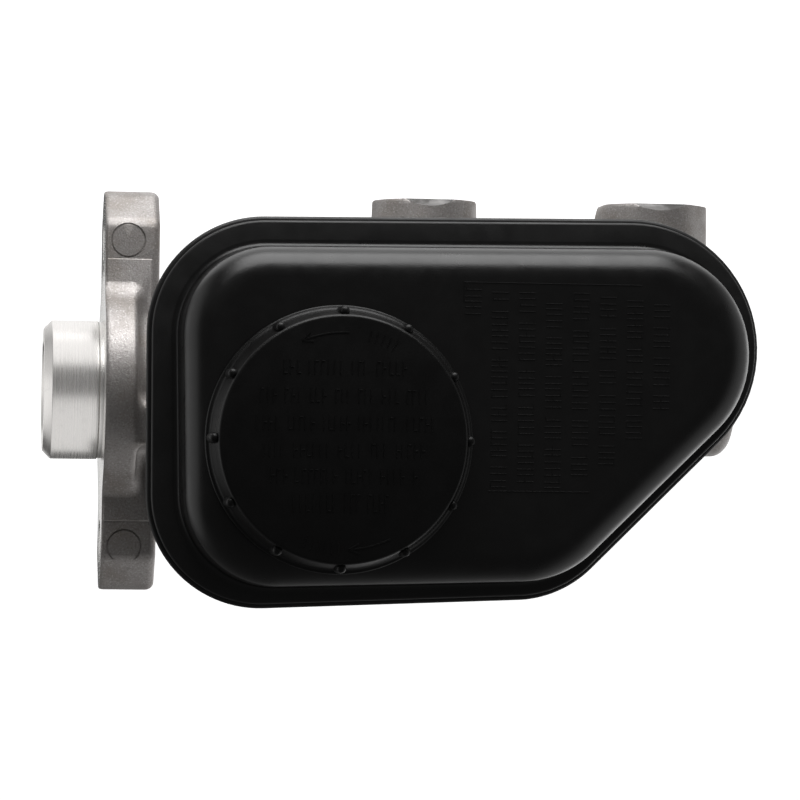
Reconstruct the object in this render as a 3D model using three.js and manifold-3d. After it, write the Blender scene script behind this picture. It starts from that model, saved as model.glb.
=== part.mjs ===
// Tandem brake master cylinder: a cast aluminium cylinder body with two pistons in one bore, and a
// welded two-piece plastic fluid reservoir with a screw cap pinned on top of it.
//
// Millimetres. +X runs along the bore to its closed front end, +Y to the outlet ports and +Z up to
// the filler cap. The origin is where the bore axis meets the mounting face of the flange.

import * as THREE from "three";
import { mergeVertices } from "three/addons/utils/BufferGeometryUtils.js";
import Module from "manifold-3d";

const wasm = await Module();
wasm.setup();

// ---- driving dimensions -------------------------------------------------------------------------

const GAP = 0.3; // clearance between pieces that touch
const COARSE = 16; // facets of small round pieces
const FINE = 24; // facets of large round pieces
const BORE_FACETS = 20; // facets of the bore and of what slides in it

const BORE = { radius: 12.7, front: 172 };
const SPIGOT = { radius: 19.7, rear: -16.7, chamfer: 2.3 };
const FLANGE = {
  thickness: 15.4, halfHeight: 13.8, slantY: 47.5, tipY: 56.8, tipHalf: 4.5, edge: 1,
  earY: 43, boltRadius: 5.5,
};
const HUB = { radius: 31, thickness: 8.9 };
const BARREL = {
  rearRadius: 20.5, midRadius: 19.5, midX: 92,
  noseRadius: 16.1, front: 181.6, noseRound: 4.5,
};
const OUTLET = { faceY: 55.8, portRadius: 6, portFloorY: 39.5, drillRadius: 2.2 };
const OUTLETS = [
  { name: "rear", x: 92, radius: 15 },
  { name: "front", x: 158.3, radius: 16.2 },
];
const INLET = { radius: 15, top: 27, pocketRadius: 11, pocketFloor: 16, feedRadius: 2.5, bleedRadius: 0.6 };
const INLETS = [
  { name: "rear", x: 54, feedX: 47.5, bleedX: 60.6 },
  { name: "front", x: 134, feedX: 128.5, bleedX: 143.4 },
];
const LUG = { top: 28, pinZ: 24.2, pinRadius: 2, tabThickness: 3.6, tabLength: 12, tabBottom: 20.9 };
const LUGS = [
  { name: "rear", pinX: 27, x0: 8, x1: 34, y0: -15.5, y1: -2.9 },
  { name: "front", pinX: 92, x0: 84, x1: 100, y0: -6, y1: 6 },
];
const STOP = { x: 132.5, bossRadius: 8, bossBottom: -24, threadRadius: 4, tipRadius: 2, tipTop: -9 };
const SNAP_RING = { grooveRadius: 14, rear: -14.4, front: -12.8, innerRadius: 10.6, thickness: 1.2 };

const PISTON_RADIUS = BORE.radius - GAP;
const PRIMARY = { rear: -10.2, front: 61, waist: 7.5, socketRadius: 6.2, socketEnd: 12 };
const SECONDARY = { rear: 98, front: 142.3, waist: 8, recessRadius: 6, recessEnd: 112 };
const CUP_ROOT = 7.5; // radius of the piston under a cup
const SPRINGS = {
  primary: { rear: 61.2, front: 96.4, radius: 8.7, wire: 1.3, turns: 5.5 },
  secondary: { rear: 143.9, front: 169.9, radius: 8.7, wire: 1.15, turns: 5.5 },
};

// The reservoir rim is four arcs joined by their common tangents, seen from above.
const RIM_ARCS = [
  { x: 41.6, y: 14.9, r: 32 },
  { x: 41, y: -28.4, r: 31 },
  { x: 110.7, y: -26, r: 30.5 },
  { x: 142.1, y: 12.6, r: 35.7 },
];
// The dome wall has arcs of its own: it stands nearer to the rim along the front than at the back.
const DOME_ARCS = [
  { x: 41.7, y: 14.7, r: 23.3 },
  { x: 44.3, y: -28.1, r: 24.9 },
  { x: 109.8, y: -23, r: 28 },
  { x: 143.2, y: 10.8, r: 28.5 },
];
const TANK = { floor: 30.5, seam: 58, rim: 2.85, deck: 82, wall: 2.4, upperInset: 1.3 };
const TUB = { inset: 11, round: 6 };
const DOME = { round: 8 };
const NIPPLE = { radius: 6.5, hole: 4.5, bottom: 18 };
const BAFFLE = { x: 80, thickness: 2, top: 50 };

const SWITCH = { x: 100, y: -28, width: 20, rearY: -21, frontY: -37, plugY: -51, bottom: 20.5, top: 29.9 };
const SOCKET = {
  width: 11, height: 6.4, depth: 11, shell: 1.5,
  bladeSpacing: 7, bladeWidth: 0.8, bladeHeight: 2.8,
};
const GUIDE = { radius: 4.2, hole: 2.8, top: 54.5, stemRadius: 2.5, stemTop: 51 };
const FLOAT = { radius: 11, hole: 4.6, bottom: 34, height: 10, travel: 18 };
const MAGNET = { inner: 5.3, outer: 7.7, depth: 2.7 };

const NECK = { x: 59.5, y: -13.5, radius: 29, bore: 26, top: 91, threadRadius: 30.2 };
const CAP = {
  bottom: 83, top: 95.4, plate: 2.2,
  baseRadius: 35.6, topRadius: 32.7, bore: 31.4, threadRadius: 30.7,
};
const CAP_RIBS = { count: 12, radius: 3.1, centre: 32.5, top: 93.4 };
const SLIP_WASHER = { inner: 20, outer: 28, bottom: 92.4, thickness: 0.5 };
const DIAPHRAGM = {
  flange: 28.5, bellows: 24.8, bottom: 83.4, skin: 1.3,
  flangeBottom: 91.3, flangeTop: 92.1,
};

// ---- finishes -----------------------------------------------------------------------------------

function finish(color, roughness, metalness) {
  return new THREE.MeshStandardMaterial({ color, roughness, metalness });
}
const CAST_ALUMINIUM = finish(0x8f8c86, 0.55, 0.9);
const TURNED_ALUMINIUM = finish(0xc9c9c9, 0.25, 1);
const ANODISED = finish(0xa8a46e, 0.4, 0.8);
const BLACK_PLASTIC = finish(0x161616, 0.45, 0);
const BLACK_RUBBER = finish(0x101010, 0.8, 0);
const SPRING_STEEL = finish(0x77797c, 0.35, 1);
const ZINC_STEEL = finish(0xb9b8ad, 0.4, 1);
const BRASS = finish(0xb89a4a, 0.35, 1);
const COPPER = finish(0xb06a45, 0.4, 1);
const WHITE_PLASTIC = finish(0xd8d6cd, 0.6, 0);
const FERRITE = finish(0x3a3a3c, 0.6, 0.3);

// ---- geometry helpers ---------------------------------------------------------------------------

const X_AXIS = new THREE.Matrix4().makeRotationZ(-Math.PI / 2); // turns a lathe's Y axis onto +X
const Z_AXIS = new THREE.Matrix4().makeRotationX(Math.PI / 2); // turns a lathe's Y axis onto +Z
const Y_AXIS = new THREE.Matrix4();

// A closed geometry as a solid that can be joined and cut.
function solid(geometry, matrix = Y_AXIS) {
  const bare = geometry.clone().applyMatrix4(matrix);
  bare.deleteAttribute("normal");
  bare.deleteAttribute("uv");
  const merged = mergeVertices(bare, 1e-4);
  const corners = merged.index.array;
  const triangles = [];
  for (let i = 0; i < corners.length; i += 3) {
    const [a, b, c] = [corners[i], corners[i + 1], corners[i + 2]];
    if (a !== b && b !== c && c !== a) triangles.push(a, b, c);
  }
  const triVerts = new Uint32Array(triangles);
  const vertProperties = merged.attributes.position.array;
  return new wasm.Manifold(new wasm.Mesh({ numProp: 3, vertProperties, triVerts }));
}

function geometryOf(manifold) {
  const { vertProperties, triVerts } = manifold.getMesh();
  const geometry = new THREE.BufferGeometry();
  geometry.setAttribute("position", new THREE.BufferAttribute(vertProperties, 3));
  geometry.setIndex(new THREE.BufferAttribute(triVerts, 1));
  geometry.computeVertexNormals();
  return geometry;
}

const joined = (first, ...others) => others.reduce((sum, next) => sum.add(next), first);
const cut = (stock, ...tools) => tools.reduce((rest, tool) => rest.subtract(tool), stock);

// A turned solid: profile points are [radius, distance along the axis], outer side first.
function turned(axis, profile, facets = FINE, [x, y, z] = [0, 0, 0]) {
  const points = profile.map(([radius, along]) => new THREE.Vector2(radius, along));
  const place = new THREE.Matrix4().makeTranslation(x, y, z).multiply(axis);
  return solid(new THREE.LatheGeometry(points, facets), place);
}

const rod = (axis, radius, from, to, facets = COARSE, centre = [0, 0, 0]) =>
  turned(axis, [[0, from], [radius, from], [radius, to], [0, to]], facets, centre);

const ring = (axis, inner, outer, from, to, facets = FINE, centre = [0, 0, 0]) =>
  turned(axis, [[inner, from], [outer, from], [outer, to], [inner, to], [inner, from]], facets, centre);

function block([x0, x1], [y0, y1], [z0, z1]) {
  const box = new THREE.BoxGeometry(x1 - x0, y1 - y0, z1 - z0);
  return solid(box, new THREE.Matrix4().makeTranslation((x0 + x1) / 2, (y0 + y1) / 2, (z0 + z1) / 2));
}

// Points of a quarter round from one profile direction to another, as [radius, distance] pairs.
function arcPoints(centreR, centreAlong, radius, fromAngle, toAngle, steps) {
  const points = [];
  for (let i = 0; i <= steps; i++) {
    const angle = fromAngle + ((toAngle - fromAngle) * i) / steps;
    points.push([centreR + radius * Math.cos(angle), centreAlong + radius * Math.sin(angle)]);
  }
  return points;
}

// An outline of arcs about four centres, joined by their outer tangents and drawn in by an inset.
function outline(centres, inset) {
  const shape = new THREE.Shape();
  const arcs = centres.map(({ x, y, r }) => ({ x, y, r: r - inset }));
  const tangentAngle = (from, to) => {
    const heading = Math.atan2(to.y - from.y, to.x - from.x);
    const span = Math.hypot(to.x - from.x, to.y - from.y);
    return heading - Math.PI / 2 + Math.asin((from.r - to.r) / span);
  };
  arcs.forEach((arc, i) => {
    const before = arcs[(i + arcs.length - 1) % arcs.length];
    const after = arcs[(i + 1) % arcs.length];
    shape.absarc(arc.x, arc.y, arc.r, tangentAngle(before, arc), tangentAngle(arc, after), false);
  });
  return shape;
}

// A flat plate of such an outline, and a moulded block of it with rounded top and bottom edges.
function flatPlate(centres, inset, from, to) {
  const options = { depth: to - from, bevelEnabled: false, curveSegments: 5 };
  const flat = new THREE.ExtrudeGeometry(outline(centres, inset), options);
  return solid(flat, new THREE.Matrix4().makeTranslation(0, 0, from));
}
function moulding(centres, inset, from, to, round) {
  const bevel = { bevelThickness: round, bevelSize: round, bevelOffset: -round, bevelSegments: 2 };
  const options = { depth: to - from - 2 * round, curveSegments: 5, ...bevel };
  const moulded = new THREE.ExtrudeGeometry(outline(centres, inset), options);
  return solid(moulded, new THREE.Matrix4().makeTranslation(0, 0, from + round));
}

// A coil spring along +X.
class Helix extends THREE.Curve {
  constructor({ rear, front, radius, wire, turns }) {
    super();
    Object.assign(this, { rear: rear + wire, front: front - wire, radius, turns });
  }
  getPoint(t, target = new THREE.Vector3()) {
    const angle = 2 * Math.PI * this.turns * t;
    const x = this.rear + (this.front - this.rear) * t;
    return target.set(x, this.radius * Math.cos(angle), this.radius * Math.sin(angle));
  }
}
function coilSpring(size) {
  const wire = new THREE.Shape();
  const sides = 5;
  for (let i = 0; i < sides; i++) {
    const angle = (2 * Math.PI * i) / sides;
    const [u, v] = [size.wire * Math.cos(angle), size.wire * Math.sin(angle)];
    if (i === 0) wire.moveTo(u, v);
    else wire.lineTo(u, v);
  }
  const steps = Math.round(size.turns * 11);
  return solid(new THREE.ExtrudeGeometry(wire, { steps, extrudePath: new Helix(size), bevelEnabled: false }));
}

// An open ring along an axis, such as a snap ring or a slotted pin.
function openRing(inner, outer, halfSlot, length, segments, matrix) {
  const shape = new THREE.Shape();
  shape.absarc(0, 0, outer, halfSlot, 2 * Math.PI - halfSlot, false);
  shape.absarc(0, 0, inner, 2 * Math.PI - halfSlot, halfSlot, true);
  const options = { depth: length, bevelEnabled: false, curveSegments: segments };
  return solid(new THREE.ExtrudeGeometry(shape, options), matrix);
}

// ---- cylinder body ------------------------------------------------------------------------------

// The flange bar: two ears with slanted tips, drawn in the YZ plane and extruded along +X.
function flangeBar() {
  const { halfHeight, slantY, tipY, tipHalf, thickness, edge } = FLANGE;
  const upperHalf = [[tipY, tipHalf], [slantY, halfHeight], [-slantY, halfHeight], [-tipY, tipHalf]];
  const lowerHalf = upperHalf.map(([y, z]) => [-y, -z]);
  const shape = new THREE.Shape([...upperHalf, ...lowerHalf].map(([y, z]) => new THREE.Vector2(y, z)));
  const options = { depth: thickness - 2 * edge, bevelThickness: edge, bevelSize: edge, bevelOffset: -edge };
  const bar = new THREE.ExtrudeGeometry(shape, { ...options, bevelSegments: 1 });
  const turn = new THREE.Matrix4().makeBasis(
    new THREE.Vector3(0, 1, 0), new THREE.Vector3(0, 0, 1), new THREE.Vector3(1, 0, 0));
  return solid(bar, new THREE.Matrix4().makeTranslation(edge, 0, 0).multiply(turn));
}

function barrelAndSpigot() {
  const { rearRadius, midRadius, midX, noseRadius, front, noseRound } = BARREL;
  const corner = arcPoints(noseRadius - noseRound, front - noseRound, noseRound, 0, Math.PI / 2, 3);
  return turned(X_AXIS, [
    [0, SPIGOT.rear],
    [SPIGOT.radius - SPIGOT.chamfer, SPIGOT.rear],
    [SPIGOT.radius, SPIGOT.rear + SPIGOT.chamfer],
    [SPIGOT.radius, 1],
    [rearRadius, 1],
    [midRadius, midX],
    ...corner,
    [0, front],
  ]);
}

// Cast lug that stands on the barrel between the two tabs of the reservoir.
function pinLug({ x0, x1, y0, y1 }) {
  const round = 3;
  const shape = new THREE.Shape();
  shape.moveTo(y0, 0);
  shape.lineTo(y1, 0);
  shape.lineTo(y1, LUG.top - round);
  shape.absarc(y1 - round, LUG.top - round, round, 0, Math.PI / 2, false);
  shape.lineTo(y0, LUG.top);
  const prism = new THREE.ExtrudeGeometry(shape, { depth: x1 - x0, bevelEnabled: false, curveSegments: 3 });
  const turn = new THREE.Matrix4().makeBasis(
    new THREE.Vector3(0, 1, 0), new THREE.Vector3(0, 0, 1), new THREE.Vector3(1, 0, 0));
  return solid(prism, new THREE.Matrix4().makeTranslation(x0, 0, 0).multiply(turn));
}

function cylinderBody() {
  const bosses = OUTLETS.map(({ x, radius }) => rod(Y_AXIS, radius, 0, OUTLET.faceY, 20, [x, 0, 0]));
  const inletBosses = INLETS.map(({ x }) => rod(Z_AXIS, INLET.radius, 0, INLET.top, 20, [x, 0, 0]));
  const stopBoss = rod(Z_AXIS, STOP.bossRadius, STOP.bossBottom, 0, COARSE, [STOP.x, 0, 0]);
  const hub = rod(X_AXIS, HUB.radius, 0, HUB.thickness, FINE);
  const lugs = LUGS.map(pinLug);
  const casting = joined(barrelAndSpigot(), hub, flangeBar(), ...bosses, ...inletBosses, stopBoss, ...lugs);

  const past = 1; // how far a cutter runs beyond the face it opens
  const bore = rod(X_AXIS, BORE.radius, SPIGOT.rear - past, BORE.front, BORE_FACETS);
  const groove = rod(X_AXIS, SNAP_RING.grooveRadius, SNAP_RING.rear, SNAP_RING.front, BORE_FACETS);
  const boltHoles = [-1, 1].map((side) =>
    rod(X_AXIS, FLANGE.boltRadius, -past, FLANGE.thickness + past, COARSE, [0, side * FLANGE.earY, 0]));
  const ports = OUTLETS.flatMap(({ x }) => [
    rod(Y_AXIS, OUTLET.portRadius, OUTLET.portFloorY, OUTLET.faceY + past, COARSE, [x, 0, 0]),
    rod(Y_AXIS, OUTLET.drillRadius, 0, OUTLET.portFloorY + past, 10, [x, 0, 0]),
  ]);
  const pockets = INLETS.flatMap(({ x, feedX, bleedX }) => [
    rod(Z_AXIS, INLET.pocketRadius, INLET.pocketFloor, INLET.top + past, 16, [x, 0, 0]),
    rod(Z_AXIS, INLET.feedRadius, 0, INLET.pocketFloor + past, 10, [feedX, 0, 0]),
    rod(Z_AXIS, INLET.bleedRadius, 0, INLET.pocketFloor + past, 6, [bleedX, 0, 0]),
  ]);
  const pinHoles = LUGS.map(({ pinX, y0, y1 }) =>
    rod(Y_AXIS, LUG.pinRadius + GAP, y0 - past, y1 + past, 12, [pinX, 0, LUG.pinZ]));
  const stopHole = rod(Z_AXIS, STOP.threadRadius + GAP, STOP.bossBottom - past, 0, 12, [STOP.x, 0, 0]);
  return cut(casting, bore, groove, ...boltHoles, ...ports, ...pockets, ...pinHoles, stopHole);
}

// Flared steel seat pressed into the bottom of an outlet port.
function outletSeat({ x }) {
  const base = OUTLET.portFloorY + GAP;
  return turned(Y_AXIS, [
    [1.4, base], [5.6, base], [5.6, base + 2.5], [1.6, base + 6], [1.4, base + 6], [1.4, base],
  ], 16, [x, 0, 0]);
}

// Hex bolt that limits the travel of the secondary piston, under the barrel.
function stopBolt() {
  const headTop = STOP.bossBottom - 1.6;
  const head = rod(Z_AXIS, 6.9, headTop - 5, headTop, 6, [STOP.x, 0, 0]);
  const shank = rod(Z_AXIS, STOP.threadRadius, headTop, -13.4, COARSE, [STOP.x, 0, 0]);
  const tip = rod(Z_AXIS, STOP.tipRadius, -13.4, STOP.tipTop, 12, [STOP.x, 0, 0]);
  return joined(head, shank, tip);
}
const stopWasher = () =>
  ring(Z_AXIS, STOP.threadRadius + GAP, 7.2, STOP.bossBottom - GAP - 1, STOP.bossBottom - GAP, COARSE,
    [STOP.x, 0, 0]);

function snapRing() {
  const { innerRadius, grooveRadius, rear, thickness } = SNAP_RING;
  const upright = new THREE.Matrix4().makeRotationY(Math.PI / 2);
  const matrix = new THREE.Matrix4().makeTranslation(rear + 0.2, 0, 0).multiply(upright);
  return openRing(innerRadius, grooveRadius - GAP, 0.35, thickness, 12, matrix);
}

// ---- pistons, cups and springs ------------------------------------------------------------------

function primaryPiston() {
  const { rear, front, waist, socketRadius, socketEnd } = PRIMARY;
  const body = turned(X_AXIS, [
    [0, rear], [PISTON_RADIUS - 1, rear], [PISTON_RADIUS, rear + 1],
    [PISTON_RADIUS, 7.6], [9, 7.6], [9, 13.4], [PISTON_RADIUS, 13.4], [PISTON_RADIUS, 16],
    [waist, 18], [waist, 48], [PISTON_RADIUS, 50], [PISTON_RADIUS, 53.4],
    [CUP_ROOT, 53.4], [CUP_ROOT, front], [0, front],
  ], BORE_FACETS);
  const socket = turned(X_AXIS, [
    [0, rear - 1], [socketRadius + 1.5, rear - 1], [socketRadius, rear + 1], [socketRadius, socketEnd - 3],
    [3, socketEnd], [0, socketEnd],
  ], COARSE);
  return cut(body, socket, rod(X_AXIS, 2.3, 50, front + 1, 12));
}

function secondaryPiston() {
  const { rear, front, waist, recessRadius, recessEnd } = SECONDARY;
  const body = turned(X_AXIS, [
    [0, rear], [PISTON_RADIUS, rear], [PISTON_RADIUS, 99.4], [CUP_ROOT + 1, 99.4], [CUP_ROOT + 1, 104.6],
    [PISTON_RADIUS, 104.6], [PISTON_RADIUS, 106.2], [CUP_ROOT + 1, 106.2], [CUP_ROOT + 1, 110.8],
    [PISTON_RADIUS, 110.8], [PISTON_RADIUS, 112], [waist, 113], [waist, 135],
    [PISTON_RADIUS, 135], [PISTON_RADIUS, 137], [CUP_ROOT, 137], [CUP_ROOT, front], [0, front],
  ], BORE_FACETS);
  return cut(body, rod(X_AXIS, recessRadius, rear - 1, recessEnd, COARSE));
}

// U-section rubber cup between two planes; its open side is at the "lip" plane.
function cup(root, back, lip) {
  const sense = Math.sign(lip - back);
  const web = back + 2 * sense;
  const [inner, outer] = [root + GAP, PISTON_RADIUS];
  const wall = 1.4;
  const profile = [[inner, back], [outer - 0.6, back], [outer, lip], [outer - wall, lip], [outer - wall, web],
    [inner + wall, web], [inner + wall, lip], [inner, lip], [inner, back]];
  return turned(X_AXIS, sense > 0 ? profile : profile.reverse(), BORE_FACETS);
}

function springBolt() {
  const stem = rod(X_AXIS, 2, 51, 89.5, 12);
  return joined(stem, rod(X_AXIS, 4.5, 89.5, 92, COARSE));
}

// Stamped hat that catches the bolt head and carries the front end of the primary spring.
function springRetainer() {
  return turned(X_AXIS, [
    [2.6, 88], [6.2, 88], [6.2, 96.5], [11.4, 96.5],
    [11.4, 97.6], [5.2, 97.6], [5.2, 89.2], [2.6, 89.2], [2.6, 88],
  ], BORE_FACETS);
}

// ---- reservoir ----------------------------------------------------------------------------------

const tabPairs = ({ pinX, y0, y1 }) =>
  [[y0 - GAP - LUG.tabThickness, y0 - GAP], [y1 + GAP, y1 + GAP + LUG.tabThickness]].map((side) =>
    block([pinX - LUG.tabLength / 2, pinX + LUG.tabLength / 2], side, [LUG.tabBottom, TANK.floor + 1]));

function reservoirLower() {
  const { floor, seam, wall } = TANK;
  const below = (block0) => block0.intersect(flatPlate(RIM_ARCS, -1, 0, seam - GAP / 2));
  const outside = below(moulding(RIM_ARCS, TUB.inset, floor, 90, TUB.round));
  const inside = moulding(RIM_ARCS, TUB.inset + wall, floor + wall, 90, TUB.round - wall);
  const nipples = INLETS.map(({ x }) =>
    rod(Z_AXIS, NIPPLE.radius, NIPPLE.bottom, floor + 1, COARSE, [x, 0, 0]));
  const drains = INLETS.map(({ x }) =>
    rod(Z_AXIS, NIPPLE.hole, NIPPLE.bottom - 1, floor + wall + 1, 16, [x, 0, 0]));
  const guide = rod(Z_AXIS, GUIDE.radius, floor, GUIDE.top, 16, [SWITCH.x, SWITCH.y, 0]);
  const guideHole = rod(Z_AXIS, GUIDE.hole, floor - 1, GUIDE.top - 1.5, 12, [SWITCH.x, SWITCH.y, 0]);
  const baffle = block([BAFFLE.x, BAFFLE.x + BAFFLE.thickness], [-80, 80], [floor + 1, BAFFLE.top])
    .intersect(flatPlate(RIM_ARCS, TUB.inset + wall / 2, floor, seam));
  const pinHoles = LUGS.map(({ pinX, y0, y1 }) =>
    rod(Y_AXIS, LUG.pinRadius + GAP, y0 - 6, y1 + 6, 12, [pinX, 0, LUG.pinZ]));
  const shell = joined(cut(outside, inside), baffle, guide, ...nipples, ...LUGS.flatMap(tabPairs));
  return cut(shell, guideHole, ...drains, ...pinHoles);
}

// Flange around the open edge of either half, where the two halves are welded.
function flangeRing(outer, wallArcs, wallInset, from, to) {
  return cut(flatPlate(RIM_ARCS, outer, from, to), flatPlate(wallArcs, wallInset - GAP, from - 1, to + 1));
}
const lowerFlange = () =>
  flangeRing(0, RIM_ARCS, TUB.inset, TANK.seam - TANK.rim, TANK.seam - GAP / 2);
const upperFlange = () =>
  flangeRing(TANK.upperInset, DOME_ARCS, 0, TANK.seam + GAP / 2, TANK.seam + TANK.rim);

function reservoirUpper() {
  const { seam, deck, wall } = TANK;
  const above = (block0) => block0.intersect(flatPlate(RIM_ARCS, -1, seam + GAP / 2, deck + 20));
  const outside = above(moulding(DOME_ARCS, 0, 20, deck, DOME.round));
  const inside = moulding(DOME_ARCS, wall, 20, deck - wall, DOME.round - wall);
  const centre = [NECK.x, NECK.y, 0];
  const neck = turned(Z_AXIS, [
    [0, deck - 1], [NECK.radius, deck - 1],
    [NECK.radius, 85.4], [NECK.threadRadius, 86], [NECK.threadRadius, 87], [NECK.radius, 87.6],
    [NECK.radius, NECK.top], [0, NECK.top],
  ], FINE, centre);
  const mouth = rod(Z_AXIS, NECK.bore, seam, NECK.top + 1, FINE, centre);
  const stopHeight = FLOAT.bottom + FLOAT.height + FLOAT.travel + GAP;
  const floatStop = rod(Z_AXIS, 8, stopHeight, deck - 1, 16, [SWITCH.x, SWITCH.y, 0]);
  const floatPilot = rod(Z_AXIS, 3, GUIDE.top + 1, stopHeight + 1, 12, [SWITCH.x, SWITCH.y, 0]);
  return joined(cut(joined(outside, neck), inside, mouth), floatStop, floatPilot);
}

// Rubber bush between a reservoir nipple and its pocket in the cylinder body.
function grommet({ x }) {
  const inner = NIPPLE.radius + GAP;
  const outer = INLET.pocketRadius - GAP;
  const low = INLET.pocketFloor + GAP;
  const shelf = INLET.top + GAP;
  const top = TANK.floor - 2 * GAP;
  return turned(Z_AXIS, [
    [inner, low], [outer, low], [outer, shelf], [14.2, shelf], [14.2, top], [inner, top], [inner, low],
  ], 16, [x, 0, 0]);
}

// Slotted spring pin through a lug and its two tabs.
function reservoirPin({ pinX, y0, y1 }) {
  const reach = GAP + LUG.tabThickness;
  const crosswise = new THREE.Matrix4().makeRotationX(Math.PI / 2);
  const matrix = new THREE.Matrix4().makeTranslation(pinX, y1 + reach, LUG.pinZ).multiply(crosswise);
  return openRing(1.2, LUG.pinRadius, 0.5, y1 - y0 + 2 * reach, 6, matrix);
}

// ---- level switch and float ---------------------------------------------------------------------

function levelSwitch() {
  const { x, y, width, rearY, frontY, plugY, bottom, top } = SWITCH;
  const middle = (bottom + top) / 2;
  const half = SOCKET.width / 2 + SOCKET.shell;
  const housing = block([x - width / 2, x + width / 2], [frontY, rearY], [bottom, top]);
  const shroud = block([x - half, x + half], [plugY, frontY + 1], [bottom, top]);
  const stem = rod(Z_AXIS, GUIDE.stemRadius, top - 1, GUIDE.stemTop, 12, [x, y, 0]);
  const socket = block([x - SOCKET.width / 2, x + SOCKET.width / 2], [plugY - 1, plugY + SOCKET.depth],
    [middle - SOCKET.height / 2, middle + SOCKET.height / 2]);
  const slots = [-1, 1].map((side) => bladeBlock(side, GAP));
  return cut(joined(housing, shroud, stem), socket, ...slots);
}

// A contact blade, or the slot around it when grown by a clearance.
function bladeBlock(side, grow) {
  const { x, plugY, bottom, top } = SWITCH;
  const centre = x + (side * SOCKET.bladeSpacing) / 2;
  const middle = (bottom + top) / 2;
  const [w, h] = [SOCKET.bladeWidth / 2 + grow, SOCKET.bladeHeight / 2 + grow];
  return block([centre - w, centre + w], [plugY + 3 - grow, plugY + 16 + grow], [middle - h, middle + h]);
}

function levelFloat() {
  const { radius, hole, bottom, height } = FLOAT;
  const body = ring(Z_AXIS, hole, radius, bottom, bottom + height, 16, [SWITCH.x, SWITCH.y, 0]);
  const top = bottom + height;
  const groove = ring(Z_AXIS, MAGNET.inner - GAP, MAGNET.outer + GAP, top - MAGNET.depth - GAP, top + 1, 16,
    [SWITCH.x, SWITCH.y, 0]);
  return cut(body, groove);
}
const floatMagnet = () => ring(Z_AXIS, MAGNET.inner, MAGNET.outer, FLOAT.bottom + FLOAT.height - MAGNET.depth,
  FLOAT.bottom + FLOAT.height, 16, [SWITCH.x, SWITCH.y, 0]);

// ---- filler cap ---------------------------------------------------------------------------------

// The cap and its seal turn about their own axis, so they are drawn about it and placed as a group.
function fillerCap() {
  const { bottom, top, plate, baseRadius, topRadius, bore, threadRadius } = CAP;
  const outside = turned(Z_AXIS, [
    [0, bottom], [baseRadius, bottom], [baseRadius, bottom + 2], [topRadius + 0.8, bottom + 5],
    [topRadius, top - 1.6], [topRadius - 1.6, top], [0, top],
  ], 36);
  const ribs = [];
  for (let i = 0; i < CAP_RIBS.count; i++) {
    const angle = (2 * Math.PI * i) / CAP_RIBS.count;
    const at = [CAP_RIBS.centre * Math.cos(angle), CAP_RIBS.centre * Math.sin(angle), 0];
    ribs.push(rod(Z_AXIS, CAP_RIBS.radius, bottom, CAP_RIBS.top, 8, at));
  }
  const cavity = turned(Z_AXIS, [
    [0, bottom - 1], [bore, bottom - 1], [bore, 84.4], [threadRadius, 84.7], [threadRadius, 85.2],
    [bore, 85.6], [bore, top - plate], [0, top - plate],
  ], FINE);
  return cut(joined(outside, ...ribs), cavity);
}

function slipWasher() {
  const { inner, outer, bottom, thickness } = SLIP_WASHER;
  return ring(Z_AXIS, inner, outer, bottom, bottom + thickness);
}

// Folded rubber diaphragm: a clamped rim, a deep fold and a raised centre.
function capDiaphragm() {
  const { flange, bellows, bottom, skin, flangeBottom, flangeTop } = DIAPHRAGM;
  const fold = bellows - 7;
  const crown = flangeBottom - 2;
  return turned(Z_AXIS, [
    [0, crown - skin], [fold - skin, crown - skin], [fold - skin, bottom], [bellows, bottom],
    [bellows, flangeBottom], [flange, flangeBottom], [flange, flangeTop], [bellows - skin, flangeTop],
    [bellows - skin, bottom + skin], [fold, bottom + skin], [fold, crown], [0, crown],
  ], FINE);
}

// ---- assembly -----------------------------------------------------------------------------------

function piece(parent, name, manifold, material) {
  const mesh = new THREE.Mesh(geometryOf(manifold), material);
  mesh.name = name;
  parent.add(mesh);
}

const model = new THREE.Group();
model.name = "brake_master_cylinder";
const capGroup = new THREE.Group();
capGroup.position.set(NECK.x, NECK.y, 0);
model.add(capGroup);

piece(model, "cylinder_body", cylinderBody(), CAST_ALUMINIUM);
OUTLETS.forEach((outlet) => piece(model, `outlet_seat_${outlet.name}`, outletSeat(outlet), ZINC_STEEL));
piece(model, "stop_bolt", stopBolt(), ZINC_STEEL);
piece(model, "stop_bolt_washer", stopWasher(), COPPER);
piece(model, "bore_snap_ring", snapRing(), SPRING_STEEL);
piece(model, "bore_stop_washer", ring(X_AXIS, 7.8, PISTON_RADIUS, -12.6, -10.6, BORE_FACETS), ZINC_STEEL);

piece(model, "primary_piston", primaryPiston(), ANODISED);
piece(model, "primary_rear_seal", cup(9, 8, 13), BLACK_RUBBER);
piece(model, "primary_cup", cup(CUP_ROOT, 53.8, 59), BLACK_RUBBER);
piece(model, "primary_cup_washer", ring(X_AXIS, CUP_ROOT + GAP, 11.6, 59.4, 60.6, BORE_FACETS), ZINC_STEEL);
piece(model, "primary_spring", coilSpring(SPRINGS.primary), SPRING_STEEL);
piece(model, "primary_spring_bolt", springBolt(), ZINC_STEEL);
piece(model, "primary_spring_retainer", springRetainer(), ZINC_STEEL);

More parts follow.
